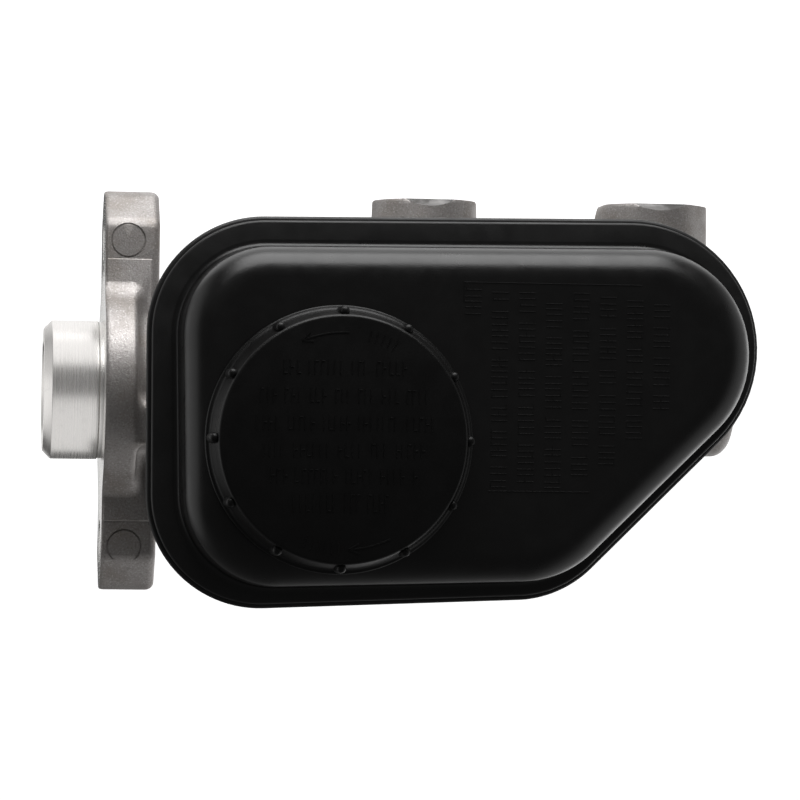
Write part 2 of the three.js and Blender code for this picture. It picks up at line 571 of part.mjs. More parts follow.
piece(model, "secondary_piston", secondaryPiston(), ANODISED);
piece(model, "secondary_rear_cup", cup(CUP_ROOT + 1, 104.2, 99.8), BLACK_RUBBER);
piece(model, "secondary_middle_cup", cup(CUP_ROOT + 1, 106.6, 110.4), BLACK_RUBBER);
piece(model, "secondary_front_cup", cup(CUP_ROOT, 137.4, 142), BLACK_RUBBER);
piece(model, "secondary_cup_washer", ring(X_AXIS, 3, 11.6, 142.6, 143.6, BORE_FACETS), ZINC_STEEL);
piece(model, "secondary_spring", coilSpring(SPRINGS.secondary), SPRING_STEEL);
piece(model, "secondary_spring_seat", ring(X_AXIS, 3, 11.6, 170.3, 171.6, BORE_FACETS), ZINC_STEEL);

INLETS.forEach((inlet) => piece(model, `grommet_${inlet.name}`, grommet(inlet), BLACK_RUBBER));
LUGS.forEach((lug) => piece(model, `reservoir_pin_${lug.name}`, reservoirPin(lug), SPRING_STEEL));
piece(model, "reservoir_lower", reservoirLower(), BLACK_PLASTIC);
piece(model, "reservoir_lower_flange", lowerFlange(), BLACK_PLASTIC);
piece(model, "reservoir_upper", reservoirUpper(), BLACK_PLASTIC);
piece(model, "reservoir_upper_flange", upperFlange(), BLACK_PLASTIC);

piece(model, "level_switch", levelSwitch(), BLACK_PLASTIC);
piece(model, "switch_blade_left", bladeBlock(-1, 0), BRASS);
piece(model, "switch_blade_right", bladeBlock(1, 0), BRASS);
piece(model, "level_float", levelFloat(), WHITE_PLASTIC);
piece(model, "float_magnet", floatMagnet(), FERRITE);

piece(capGroup, "filler_cap", fillerCap(), BLACK_PLASTIC);
piece(capGroup, "cap_slip_washer", slipWasher(), WHITE_PLASTIC);
piece(capGroup, "cap_diaphragm", capDiaphragm(), BLACK_RUBBER);

export default model;
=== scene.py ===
"""Brake master cylinder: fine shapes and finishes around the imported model.

Lengths in this file are millimetres, and mesh_piece() turns them into metres. +X runs along the bore
to its closed end, +Y points to the outlet ports and +Z up to the filler cap.
"""
from math import acos, atan2, copysign, cos, hypot, pi, radians, sin, sqrt, tan

import bmesh
import bpy
import numpy as np
from mathutils import Matrix, Vector


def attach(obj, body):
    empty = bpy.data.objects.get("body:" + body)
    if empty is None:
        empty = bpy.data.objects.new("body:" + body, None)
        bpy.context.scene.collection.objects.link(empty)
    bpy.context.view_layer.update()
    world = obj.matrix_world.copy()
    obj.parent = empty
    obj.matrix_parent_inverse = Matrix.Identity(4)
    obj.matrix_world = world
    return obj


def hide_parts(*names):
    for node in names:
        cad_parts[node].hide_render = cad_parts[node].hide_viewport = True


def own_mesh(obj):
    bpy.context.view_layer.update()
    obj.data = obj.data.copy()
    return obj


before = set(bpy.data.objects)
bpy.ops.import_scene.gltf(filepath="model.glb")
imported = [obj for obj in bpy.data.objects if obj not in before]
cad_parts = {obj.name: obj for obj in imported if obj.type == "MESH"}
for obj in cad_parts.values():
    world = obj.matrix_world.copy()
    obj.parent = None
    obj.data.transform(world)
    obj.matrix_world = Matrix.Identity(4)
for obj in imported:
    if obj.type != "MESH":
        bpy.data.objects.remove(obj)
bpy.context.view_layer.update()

MM = 0.001
TAU = 2 * pi

# ---- sizes shared with the model ----

GAP = 0.3
BORE_R = 12.7
BORE_FRONT = 172
PISTON_R = 12.4
CUP_ROOT = 7.5
SPIGOT_R = 19.7
SPIGOT_REAR = -16.7
EAR_Y = 43
CELL = 0.85
EAR_RINGS = {-1: -44.1, 1: 42.2}
OUTLETS = {"rear": (92, 15.0), "front": (158.3, 16.2)}
OUTLET_FACE = 55.8
OUTLET_FLOOR = 39.5
INLETS = {"rear": (54, 47.5, 60.6), "front": (134, 128.5, 143.4)}
INLET_TOP = 27
POCKET_R = 11
POCKET_FLOOR = 16
LUGS = {"rear": (27, 8, 34, -15.5, -2.9), "front": (92, 84, 100, -6, 6)}
LUG_TOP = 28
PIN_Z = 24.2
PIN_HOLE_R = 2.3
STOP_X = 132.5
RIM_ARCS = ((41.6, 14.9, 32.0), (41.0, -28.4, 31.0), (110.7, -26.0, 30.5), (142.1, 12.6, 35.7))
DOME_ARCS = ((41.7, 14.7, 23.3), (44.3, -28.1, 24.9), (109.8, -23.0, 28.0), (143.2, 10.8, 28.5))
FLOOR = 30.5
SEAM = 58.0
DECK = 82.0
WALL = 2.4
TAB = 3.6
TUB_INSET = 11
SWITCH = (100, -28)
CAP_AT = (59.5, -13.5)
CAP_CLEAR_R = 37
THREAD_LEAD = 6.0
STROKE = 0.42

# ---- meshes ----


def linked(name, data):
    item = bpy.data.objects.new(name, data)
    bpy.context.scene.collection.objects.link(item)
    return item


def mesh_piece(name, points, faces, smooth_angle=35):
    """A Blender object from points in millimetres, with its faces turned outwards."""
    mesh = bpy.data.meshes.new(name)
    mesh.from_pydata((np.asarray(points, float) * MM).tolist(), [], faces)
    work = bmesh.new()
    work.from_mesh(mesh)
    bmesh.ops.remove_doubles(work, verts=work.verts, dist=1e-7)
    bmesh.ops.recalc_face_normals(work, faces=work.faces)
    work.to_mesh(mesh)
    work.free()
    return smoothed(linked(name, mesh), smooth_angle)


def smoothed(piece, smooth_angle=35):
    piece.data.shade_smooth()
    piece.data.set_sharp_from_angle(angle=radians(smooth_angle))
    return piece


def rounded(corners, closed=False, steps=4):
    """A path through corners given as (u, v) or (u, v, radius), with each radius as an arc."""
    path = []
    last = len(corners) - 1
    for i, corner in enumerate(corners):
        point = Vector(corner[:2])
        radius = corner[2] if len(corner) > 2 else 0
        if not radius or (not closed and i in (0, last)):
            path.append(tuple(point))
            continue
        back = (Vector(corners[i - 1][:2]) - point).normalized()
        ahead = (Vector(corners[(i + 1) % len(corners)][:2]) - point).normalized()
        half = back.angle(ahead) / 2
        centre = point + (back + ahead).normalized() * (radius / sin(half))
        start = point + back * (radius / tan(half)) - centre
        end = point + ahead * (radius / tan(half)) - centre
        first = atan2(start.y, start.x)
        sweep = (atan2(end.y, end.x) - first + pi) % TAU - pi
        for k in range(steps + 1):
            angle = first + sweep * k / steps
            path.append((centre.x + radius * cos(angle), centre.y + radius * sin(angle)))
    return path


def on_axis(axis, across, up, along):
    """A point from its two distances across an axis and the one along it."""
    return {"x": (along, across, up), "y": (up, along, across), "z": (across, up, along)}[axis]


def ring_stack(name, rings, loop=False, smooth_angle=35):
    """Rings with the same number of points joined in turn, and closed at both ends or into a loop."""
    count = len(rings[0])
    faces = []
    for i in range(len(rings) if loop else len(rings) - 1):
        low = i * count
        high = ((i + 1) % len(rings)) * count
        for k in range(count):
            after = (k + 1) % count
            faces.append([low + k, low + after, high + after, high + k])
    if not loop:
        faces.append(list(range(count)))
        faces.append(list(range((len(rings) - 1) * count, len(rings) * count)))
    return mesh_piece(name, np.concatenate(rings), faces, smooth_angle)


def circle(axis, radius, along, facets, centre):
    turn = np.arange(facets) * TAU / facets
    ring = [on_axis(axis, radius * cos(a), radius * sin(a), along) for a in turn]
    return np.array([np.add(centre, point) for point in ring])


def lathe(name, corners, axis="x", centre=(0, 0, 0), facets=96, closed=False, steps=4):
    """A turned piece: corners are (radius, distance along the axis[, corner radius])."""
    path = [(max(radius, 1e-3), along) for radius, along in rounded(corners, closed, steps)]
    rings = [circle(axis, radius, along, facets, centre) for radius, along in path]
    return ring_stack(name, rings, loop=closed)


def rod(name, radius, start, end, axis="x", centre=(0, 0, 0), facets=64):
    corners = [(0, start), (radius, start), (radius, end), (0, end)]
    return lathe(name, corners, axis, centre, facets)


def drawn_in(outline, inset):
    """An outline moved inwards by an inset, square to its edges."""
    flat = np.array(outline, float)
    ahead = np.roll(flat, -1, 0) - flat
    back = flat - np.roll(flat, 1, 0)
    ahead = ahead / np.linalg.norm(ahead, axis=1)[:, None]
    back = back / np.linalg.norm(back, axis=1)[:, None]
    out = np.stack([ahead[:, 1] + back[:, 1], -ahead[:, 0] - back[:, 0]], 1)
    out = 2 * out / (out ** 2).sum(1)[:, None]
    area = np.sum(flat[:, 0] * np.roll(flat[:, 1], -1) - np.roll(flat[:, 0], -1) * flat[:, 1])
    return flat - out * inset * copysign(1, area)


def prism(name, outline, low, high, axis="z", edge=0.0):
    """An outline drawn across an axis and carried along it, with both its edges rounded."""
    quarter = [pi / 2 * k / 3 for k in range(4)]
    levels = [(0, low), (0, high)]
    if edge:
        levels = [(edge * (1 - sin(a)), low + edge * (1 - cos(a))) for a in quarter]
        levels += [(edge * (1 - cos(a)), high - edge * (1 - sin(a))) for a in quarter]
    rings = []
    for inset, along in levels:
        flat = drawn_in(outline, inset) if inset else np.array(outline, float)
        rings.append(np.array([on_axis(axis, u, v, along) for u, v in flat]))
    return ring_stack(name, rings)


def rectangle(u0, v0, u1, v1, radius=0.0):
    corners = [(u0, v0, radius), (u1, v0, radius), (u1, v1, radius), (u0, v1, radius)]
    return rounded(corners, True, 3)


def block(name, low, high, corner=0.0, edge=0.0):
    """A box between two corners, with its upright edges and its flat edges rounded."""
    return prism(name, rectangle(low[0], low[1], high[0], high[1], corner), low[2], high[2], "z", edge)


def combine(target, tools, operation="DIFFERENCE", smooth_angle=35):
    """Joins or cuts target with each tool in turn and uses the tools up."""
    for tool in tools if isinstance(tools, list) else [tools]:
        if target.data.materials and not tool.data.materials:
            tool.data.materials.append(target.data.materials[0])
        modifier = target.modifiers.new("combine", "BOOLEAN")
        modifier.object = tool
        modifier.operation = operation
        modifier.solver = "MANIFOLD"
        modifier.material_mode = "TRANSFER"
        shown = target.evaluated_get(bpy.context.evaluated_depsgraph_get())
        result = bpy.data.meshes.new_from_object(shown)
        target.modifiers.clear()
        target.data = result
        bpy.data.objects.remove(tool)
    return smoothed(target, smooth_angle)


def paint(piece, finish):
    piece.data.materials.clear()
    piece.data.materials.append(FINISHES[finish])
    return piece


def place(piece, finish, body, *nodes):
    """Paints a bare piece, rides it on its body and hides the model nodes it stands for."""
    if not any(piece.data.materials):
        paint(piece, finish)
    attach(piece, body)
    if nodes:
        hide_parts(*nodes)
    return piece


def turned_piece(name, finish, body, corners, axis="x", centre=(0, 0, 0), facets=96, closed=False, steps=4):
    """A lathe piece that stands for the model node of its name."""
    place(lathe(name, corners, axis, centre, facets, closed, steps), finish, body, name)


# ---- finishes ----


class Nodes:
    """Shader nodes in one tree, whose inputs are given as values or as other nodes' outputs."""

    def __init__(self, tree):
        self.tree = tree

    def feed(self, node, inputs):
        for key, value in inputs.items():
            if isinstance(value, bpy.types.NodeSocket):
                self.tree.links.new(value, node.inputs[key])
            else:
                node.inputs[key].default_value = value

    def node(self, kind, inputs, **settings):
        node = self.tree.nodes.new("ShaderNode" + kind)
        for key, value in settings.items():
            setattr(node, key, value)
        self.feed(node, inputs)
        return node.outputs

    def remap(self, value, low, high, to_low=0.0, to_high=1.0):
        inputs = {0: value, 1: low, 2: high, 3: to_low, 4: to_high}
        return self.node("MapRange", inputs, interpolation_type="SMOOTHSTEP")[0]


class Finish(Nodes):
    """A procedural material: a Principled surface with helpers for noise, colour and bump."""

    def __init__(self, name, color, roughness, metallic=0.0, ior=1.5):
        self.material = bpy.data.materials.new(name)
        self.material.use_nodes = True
        super().__init__(self.material.node_tree)
        self.color = (*color, 1)
        self.normal = None
        self.place = self.node("TexCoord", {})["Object"]
        self.surface({"Base Color": self.color, "Roughness": roughness, "Metallic": metallic, "IOR": ior})

    def surface(self, inputs):
        self.feed(self.tree.nodes["Principled BSDF"], inputs)

    def noise(self, scale, detail=3.0, roughness=0.55):
        inputs = {"Vector": self.place, "Scale": scale, "Detail": detail, "Roughness": roughness}
        return self.node("TexNoise", inputs)["Fac"]

    def rings(self, axis, centre, per_mm, detail=2.0):
        """Noise that changes only with the distance from an axis and along it, as a lathe tool leaves."""
        keep = {"x": (0, 1, 1), "y": (1, 0, 1), "z": (1, 1, 0)}[axis]
        home = [value * MM for value in centre]
        shifted = self.node("VectorMath", {0: self.place, 1: home}, operation="SUBTRACT")[0]
        flat = self.node("VectorMath", {0: shifted, 1: keep}, operation="MULTIPLY")[0]
        away = self.node("VectorMath", {0: flat}, operation="LENGTH")["Value"]
        along = self.node("SeparateXYZ", {0: shifted})["xyz".index(axis)]
        spread = self.node("Math", {0: along, 1: 1.37}, operation="MULTIPLY")[0]
        total = self.node("Math", {0: away, 1: spread}, operation="ADD")[0]
        inputs = {"W": total, "Scale": per_mm / MM, "Detail": detail}
        return self.node("TexNoise", inputs, noise_dimensions="1D")["Fac"]

    def tint(self, value, low, high, amount, color):
        """Mixes in a colour, from none where the value is low to an amount where it is high."""
        inputs = {0: self.remap(value, low, high, 0, amount), 6: self.color, 7: (*color, 1)}
        self.color = self.node("Mix", inputs, data_type="RGBA")[2]
        self.surface({"Base Color": self.color})

    def vary_roughness(self, factor, low, high):
        self.surface({"Roughness": self.remap(factor, 0.3, 0.7, low, high)})

    def bump(self, height, depth_mm, strength=1.0):
        inputs = {"Height": height, "Distance": depth_mm * MM, "Strength": strength}
        if self.normal:
            inputs["Normal"] = self.normal
        self.normal = self.node("Bump", inputs)["Normal"]
        self.surface({"Normal": self.normal})


def shade(color, share):
    return tuple(share * c for c in color)


def cast_aluminium():
    finish = Finish("cast_aluminium", (0.345, 0.325, 0.315), 0.50, 0.72)
    skin = finish.noise(1900, 5, 0.65)
    patches = finish.noise(90, 4, 0.6)
    specks = finish.noise(1300, 2, 0.5)
    finish.tint(patches, 0.42, 0.70, 0.5, (0.235, 0.205, 0.175))
    finish.tint(specks, 0.58, 0.76, 0.35, (0.12, 0.11, 0.10))
    finish.tint(skin, 0.46, 0.30, 0.6, (0.16, 0.15, 0.145))
    finish.tint(skin, 0.52, 0.72, 0.7, (0.58, 0.57, 0.56))
    finish.vary_roughness(patches, 0.42, 0.54)
    finish.bump(finish.noise(240, 3, 0.5), 0.10, 0.5)
    finish.bump(skin, 0.10, 0.9)
    return finish.material


def machined(name, axis, centre, color=(0.80, 0.79, 0.77), roughness=0.24):
    finish = Finish(name, color, roughness, 1.0)
    lines = finish.rings(axis, centre, 5.0, 3)
    feed = finish.rings(axis, centre, 1.6, 2)
    finish.tint(lines, 0.3, 0.75, 0.3, shade(color, 0.78))
    finish.tint(finish.noise(420, 4, 0.7), 0.5, 0.75, 0.35, shade(color, 0.8))
    finish.vary_roughness(feed, roughness * 0.9, roughness * 1.2)
    finish.bump(lines, 0.0032, 0.5)
    finish.bump(finish.noise(1100, 4, 0.7), 0.004, 0.5)
    tangent = finish.node("Tangent", {}, direction_type="RADIAL", axis=axis.upper())[0]
    finish.surface({"Anisotropic": 0.7, "Tangent": tangent})
    return finish.material


def moulded_plastic(name, color, roughness, grain=0.03, ior=1.5):
    finish = Finish(name, color, roughness, 0.0, ior)
    fine = finish.noise(2600, 3, 0.6)
    cloud = finish.noise(45, 3, 0.5)
    finish.tint(cloud, 0.35, 0.75, 0.5, shade(color, 1.35))
    finish.tint(fine, 0.6, 0.85, 0.4, shade(color, 1.8))
    finish.vary_roughness(finish.noise(160, 4, 0.6), roughness * 0.88, roughness * 1.14)
    finish.bump(finish.noise(60, 2, 0.4), 0.025, 0.5)
    finish.bump(fine, grain, 0.8)
    return finish.material


def black_rubber():
    finish = Finish("black_rubber", (0.012, 0.012, 0.013), 0.62)
    bloom = finish.noise(120, 4, 0.6)
    finish.tint(bloom, 0.45, 0.75, 0.6, (0.028, 0.028, 0.030))
    finish.vary_roughness(bloom, 0.52, 0.74)
    finish.bump(finish.noise(1500, 4, 0.6), 0.03, 0.7)
    return finish.material


def drawn_metal(name, color, roughness, stain, axis="x"):
    """Plated or drawn metal: faint lines, darker patches and small dull spots."""
    finish = Finish(name, color, roughness, 1.0)
    patches = finish.noise(300, 4, 0.6)
    finish.tint(patches, 0.45, 0.75, 0.6, stain)
    finish.tint(finish.noise(2600, 2), 0.62, 0.8, 0.5, shade(color, 0.55))
    finish.vary_roughness(patches, roughness * 0.8, roughness * 1.35)
    finish.bump(finish.rings(axis, (0, 0, 0), 6.0, 2), 0.008, 0.4)
    finish.bump(finish.noise(1400, 3), 0.01, 0.5)
    return finish.material


FINISHES = {
    "cast": cast_aluminium(),
    "bore": machined("machined_bore_axis", "x", (0, 0, 0)),
    "spigot": machined("turned_spigot", "x", (0, 0, 0), (0.76, 0.74, 0.72), 0.25),
    "port_rear": machined("machined_rear_port", "y", (OUTLETS["rear"][0], 0, 0)),
    "port_front": machined("machined_front_port", "y", (OUTLETS["front"][0], 0, 0)),
    # The "thread" finish is machined metal given a dark colour: painted shade for the inside of the
    # threaded ports and drillings.
    "thread": drawn_metal("threaded_port_painted_shade", (0.26, 0.25, 0.24), 0.45, (0.17, 0.16, 0.15), "y"),
    "ground": drawn_metal("ground_flat", (0.15, 0.147, 0.145), 0.55, (0.11, 0.105, 0.10)),
    "inlet_rear": machined("machined_rear_inlet", "z", (INLETS["rear"][0], 0, 0)),
    "inlet_front": machined("machined_front_inlet", "z", (INLETS["front"][0], 0, 0)),
    "anodised": machined("anodised_aluminium", "x", (0, 0, 0), (0.52, 0.49, 0.27), 0.32),
    "plastic": moulded_plastic("black_plastic", (0.0050, 0.0048, 0.0048), 0.31),
    "rim_plastic": moulded_plastic("black_plastic_rim", (0.0062, 0.0060, 0.0060), 0.46),
    "cap_plastic": moulded_plastic("black_plastic_cap", (0.0043, 0.0042, 0.0042), 0.37, 0.04, 1.36),
    "rubber": black_rubber(),
    "white": moulded_plastic("white_plastic", (0.62, 0.60, 0.54), 0.42, 0.03),
    "spring": drawn_metal("spring_steel", (0.30, 0.30, 0.31), 0.32, (0.20, 0.18, 0.15)),
    "zinc": drawn_metal("zinc_steel", (0.64, 0.62, 0.55), 0.34, (0.52, 0.50, 0.36), "z"),
    "copper": drawn_metal("copper", (0.66, 0.30, 0.18), 0.36, (0.40, 0.17, 0.10), "z"),
    "brass": drawn_metal("brass", (0.68, 0.50, 0.20), 0.30, (0.46, 0.31, 0.12), "y"),
    "ferrite": moulded_plastic("ferrite", (0.035, 0.035, 0.038), 0.5, 0.05, 2.2),
}


# ---- cast cylinder body ----


def round_max(first, second, radius):
    """Distance to the overlap of two shapes, with the edge between them rounded."""
    a = first + radius
    b = second + radius
    return np.hypot(np.maximum(a, 0), np.maximum(b, 0)) - radius + np.minimum(np.maximum(a, b), 0)


def blend_min(first, second, reach):
    """Distance to two shapes joined, with the corner between them filled in."""
    mix = np.maximum(reach - np.abs(first - second), 0) / reach
    return np.minimum(first, second) - mix * mix * reach / 4


def outlet_boss(x, y, z, centre, radius, taper):
    side = np.hypot(x - centre, z) - radius - (OUTLET_FACE - y) * taper
    return np.maximum(round_max(side, y - OUTLET_FACE - 0.4, 1.0), -y)


def pin_lug(x, y, z, size):
    _, x0, x1, y0, y1 = size
    section = round_max(round_max(y - y1, z - LUG_TOP, 3.2), y0 - y, 1.0)
    ends = round_max(round_max(section, x - x1, 1.3), x0 - x, 1.3)
    return np.maximum(ends, 4 - z)


def casting_distance(x, y, z):
    """Signed distance to the skin of the rough casting, before any machining."""
    radius = np.hypot(y, z)
    parting = 0.28 * np.exp(-(z / 0.9) ** 2)
    barrel_radius = np.interp(x, [8, 92, 181.6], [20.5, 19.5, 16.0]) + parting
    barrel = np.maximum(round_max(radius - barrel_radius, x - 181.5, 4.4), -0.6 - x)
    hub = round_max(round_max(radius - 31, x - 8.9, 1.3), -0.6 - x, 1.5)
    tip = round_max(np.abs(y) - 56.7, (np.abs(y) + np.abs(z) - 61.3) / sqrt(2), 2.0)
    bar = round_max(tip + 0 * z, np.abs(z) - 13.8, 1.4)
    bar = round_max(round_max(bar, x - 15.4, 2.3), -0.6 - x, 1.5)
    body = blend_min(blend_min(hub, bar, 5.0), barrel, 7.0)
    rear_boss = outlet_boss(x, y, z, *OUTLETS["rear"], 0.030)
    front_boss = outlet_boss(x, y, z, *OUTLETS["front"], 0.006)
    front_x = OUTLETS["front"][0]
    slant = -0.894 * (x - front_x + 16.2) + 0.447 * (y - 52.6)
    facet = 0.80 * (x - front_x) + 0.60 * z - 15.4
    front_boss = round_max(round_max(front_boss, slant, 0.9), facet, 0.9)
    body = blend_min(blend_min(body, rear_boss, 6.0), front_boss, 4.0)
    for centre, _, _ in INLETS.values():
        side = np.hypot(x - centre, y) - 15 - (INLET_TOP - z) * 0.04
        body = blend_min(body, np.maximum(round_max(side, z - INLET_TOP - 0.4, 1.2), -z), 4.0)
    for size in LUGS.values():
        body = blend_min(body, pin_lug(x, y, z, size), 3.0)
    stop_side = np.hypot(x - STOP_X, y) - 8 - (z + 24) * 0.06
    body = blend_min(body, np.maximum(round_max(stop_side, -24.3 - z, 1.0), z), 4.0)
    return np.maximum(body, -0.7 - x)


def skin_of(name, distance, low, high, step):
    """The zero level of a distance function as quads, with every point moved onto it."""
    axes = [np.arange(a, b, step) for a, b in zip(low, high)]
    field = distance(axes[0][:, None, None], axes[1][None, :, None], axes[2][None, None, :])
    inside = field < 0
    count = np.zeros([n - 1 for n in field.shape], np.int8)
    offsets = [(i, j, k) for i in (0, 1) for j in (0, 1) for k in (0, 1)]
    size = count.shape
    for i, j, k in offsets:
        count += inside[i:i + size[0], j:j + size[1], k:k + size[2]]
    cells = np.argwhere((count > 0) & (count < 8))
    index = np.full(size, -1, np.int64)
    index[tuple(cells.T)] = np.arange(len(cells))
    total = np.zeros((len(cells), 3))
    hits = np.zeros(len(cells))
    for corner in offsets:
        for axis in range(3):
            if corner[axis]:
                continue
            other = list(corner)
            other[axis] = 1
            start = field[tuple((cells + corner).T)]
            end = field[tuple((cells + other).T)]
            crossing = (start < 0) != (end < 0)
            share = np.where(crossing, start / np.where(crossing, start - end, 1), 0)
            point = cells + np.array(corner, float)
            point[:, axis] += share
            total += point * crossing[:, None]
            hits += crossing
    points = np.array(low) + step * total / hits[:, None]
    probe = 0.02
    for _ in range(3):
        value = distance(*points.T)
        slope = np.stack([
            (distance(*(points + shift).T) - distance(*(points - shift).T)) / (2 * probe)
            for shift in np.eye(3) * probe], 1)
        move = slope * (value / np.maximum((slope ** 2).sum(1), 0.25))[:, None]
        points -= np.clip(move, -0.3, 0.3)
    faces = []
    for axis in range(3):
        a, b = [n for n in range(3) if n != axis]
        first = np.take(inside, range(field.shape[axis] - 1), axis)
        second = np.take(inside, range(1, field.shape[axis]), axis)
        edges = np.argwhere(first != second)
        edges = edges[(edges[:, a] > 0) & (edges[:, b] > 0)]
        edges = edges[(edges[:, a] < size[a]) & (edges[:, b] < size[b])]
        quads = []
        for down_a, down_b in ((1, 1), (0, 1), (0, 0), (1, 0)):
            cell = edges.copy()
            cell[:, a] -= down_a
            cell[:, b] -= down_b
            quads.append(index[tuple(cell.T)])
        quads = np.stack(quads, 1)
        flip = first[tuple(edges.T)] == (axis == 1)
        quads[flip] = quads[flip][:, ::-1]
        faces.append(quads)
    mesh = bpy.data.meshes.new(name)
    mesh.from_pydata((points * MM).tolist(), [], np.concatenate(faces).tolist())
    return smoothed(linked(name, mesh), 60)


def turned_cutter(name, finish, corners, axis="x", centre=(0, 0, 0), facets=96):
    return paint(lathe(name, corners, axis, centre, facets), finish)


def port_cutter(side):
    """Face, threaded port, drilling and slanting top chamfer of one outlet boss."""
    x, radius = OUTLETS[side]
    crest, root = 5.45, 6.0
    thread = []
    for k in range(12):
        y = 54.2 - k
        thread += [(crest, y), (root, y - 0.5)]
    port = [(0, 60), (7.6, 60), (7.6, OUTLET_FACE), (6.2, 54.6), *thread,
            (root, OUTLET_FLOOR), (0, OUTLET_FLOOR)]
    face = paint(block("face", (x - 20, OUTLET_FACE, -20), (x + 20, 62, 20)), "port_" + side)
    # The drilling and the threaded port take the dark "thread" finish, which paints shade inside them.
    drill = paint(rod("drill", 2.2, 8, 41, "y", (x, 0, 0), facets=32), "thread")
    corner = block("corner", (x - 20, -4, 0), (x + 20, 4, 8))
    corner.data.transform(Matrix.Rotation(radians(-45), 4, "X"))
    corner.data.transform(Matrix.Translation(Vector((0, (OUTLET_FACE - 1.0) * MM, (radius - 1.0) * MM))))
    paint(corner, "ground")
    cutter = turned_cutter("port", "thread", port, "y", (x, 0, 0), 64)
    return [face, cutter, drill, corner]


def inlet_cutter(side):
    """Top face, pocket and the two fluid holes of one inlet."""
    x, feed, bleed = INLETS[side]
    finish = "inlet_" + side
    top = paint(block("top", (x - 17.5, -17.5, INLET_TOP), (x + 17.5, 17.5, 33)), finish)
    pocket = turned_cutter("pocket", finish, [
        (0, POCKET_FLOOR), (POCKET_R, POCKET_FLOOR, 0.8), (POCKET_R, 26.4),
        (POCKET_R + 0.8, INLET_TOP + 0.2), (POCKET_R + 0.8, 30), (0, 30)], "z", (x, 0, 0))
    holes = [paint(rod("hole", radius, 6, 17, "z", (at, 0, 0), facets=24), finish)
             for at, radius in ((feed, 2.5), (bleed, 0.6))]
    return [top, pocket, *holes]


def cylinder_body():
    body = skin_of("cylinder_casting", casting_distance, (-1.9, -58.5, -33), (183.6, 58.5, 33), CELL)
    raised = block("raised", (0.5, -37, -14.15), (13.2, 37, 14.15), 0.35, 0.3)
    combine(body, paint(raised, "cast"), "UNION", 50)
    paint(body, "cast")
    rear = paint(block("rear", (-6, -70, -40), (0, 70, 40)), "bore")
    combine(body, rear, "DIFFERENCE", 50)
    bore = turned_cutter("bore", "bore", [
        (0, -1), (BORE_R, -1), (BORE_R, BORE_FRONT, 1.0), (0, BORE_FRONT)], facets=128)
    cutters = [bore]
    hole_r, mouth_r = 5.5, 6.1
    inner, outer, ear_face, groove = 4.45, 4.95, 13.68, 13.2
    for side in (-1, 1):
        cutters.append(turned_cutter("bolt_hole", "bore", [
            (0, -3), (mouth_r, -3), (mouth_r, 0), (hole_r, 0.6), (hole_r, 14.8), (mouth_r, 15.4),
            (mouth_r, 18), (0, 18)], centre=(0, side * EAR_Y, 0), facets=48))
        cutters.append(turned_cutter("pin_mark", "cast", [
            (0, ear_face), (inner, ear_face), (inner, groove), (outer, groove), (outer, 15), (0, 15)],
            "z", (6.4, EAR_RINGS[side], 0), 48))
    for side in OUTLETS:
        cutters += port_cutter(side)
    for side in INLETS:
        cutters += inlet_cutter(side)
    for pin_x, _, _, y0, y1 in LUGS.values():
        hole = rod("pin_hole", PIN_HOLE_R, y0 - 2, y1 + 2, "y", (pin_x, 0, PIN_Z), facets=32)
        cutters.append(paint(hole, "inlet_rear"))
    cutters.append(paint(block("spot", (STOP_X - 10, -10, -30), (STOP_X + 10, 10, -24)), "bore"))
    cutters.append(turned_cutter("stop_hole", "bore", [
        (0, -26), (5, -26), (5, -24), (4.3, -23.3), (4.3, -8), (0, -8)], "z", (STOP_X, 0, 0), 48))
    combine(cutters[0], cutters[1:], "UNION")
    combine(body, cutters[0], "DIFFERENCE", 40)
    return place(body, "cast", "housing", "cylinder_body")


def pilot_spigot():
    """Turned collar at the rear end of the casting, with the groove for the snap ring inside it."""
    collar = lathe("pilot_spigot", [
        (SPIGOT_R - 2.3, SPIGOT_REAR, 0.3), (SPIGOT_R, SPIGOT_REAR + 2.3, 0.3), (SPIGOT_R, -1.4, 0.2),
        (SPIGOT_R - 0.35, -1.1), (SPIGOT_R - 0.35, 0), (BORE_R, 0), (BORE_R, -12.8), (14, -12.8),
        (14, -14.4), (BORE_R, -14.4), (BORE_R, SPIGOT_REAR + 1.3), (BORE_R + 1.1, SPIGOT_REAR)], facets=160,
        closed=True)
    return place(collar, "spigot", "housing", "cylinder_body")


def outlet_seat(side):
    base = OUTLET_FLOOR + GAP
    turned_piece("outlet_seat_" + side, "zinc", "housing", [
        (1.4, base, 0.2), (5.5, base, 0.3), (5.5, base + 2.4, 0.4), (1.9, base + 6, 0.3),
        (1.4, base + 6, 0.2)], "y", (OUTLETS[side][0], 0, 0), 64, closed=True, steps=2)


def stop_bolt():
    at = (STOP_X, 0, 0)
    tip = 6.9
    hexagon = [(STOP_X + tip * cos(TAU * k / 6), tip * sin(TAU * k / 6)) for k in range(6)]
    head = prism("stop_bolt", hexagon, -30.6, -25.6)
    crown = lathe("crown", [(0, -30.6), (5.7, -30.6), (tip, -29.9), (tip, -25.6), (0, -25.6)], "z", at)
    combine(head, crown, "INTERSECT")
    crest, root = 4.0, 3.55
    thread = [(crest, -24.6)]
    for k in range(9):
        thread += [(root, -24.1 + k), (crest, -23.6 + k)]
    shank = lathe("shank", [
        (0, -25.7), (6.0, -25.7), (6.0, -25.45), (crest, -25.3), *thread, (3.4, -13.4), (2.0, -13.2),
        (2.0, -9.4, 0.5), (1.4, -9), (0, -9)], "z", at, 64)
    combine(head, shank, "UNION")
    dish = lathe("dish", [(0, -31), (3.6, -31), (3.2, -30.25), (0, -30.2)], "z", at, 64)
    combine(head, dish)
    place(head, "zinc", "housing", "stop_bolt")
    turned_piece("stop_bolt_washer", "copper", "housing", [
        (4.35, -25.3, 0.3), (7.2, -25.3, 0.35), (7.2, -24.3, 0.35), (4.35, -24.3, 0.3)], "z", at, 72,
        closed=True, steps=2)


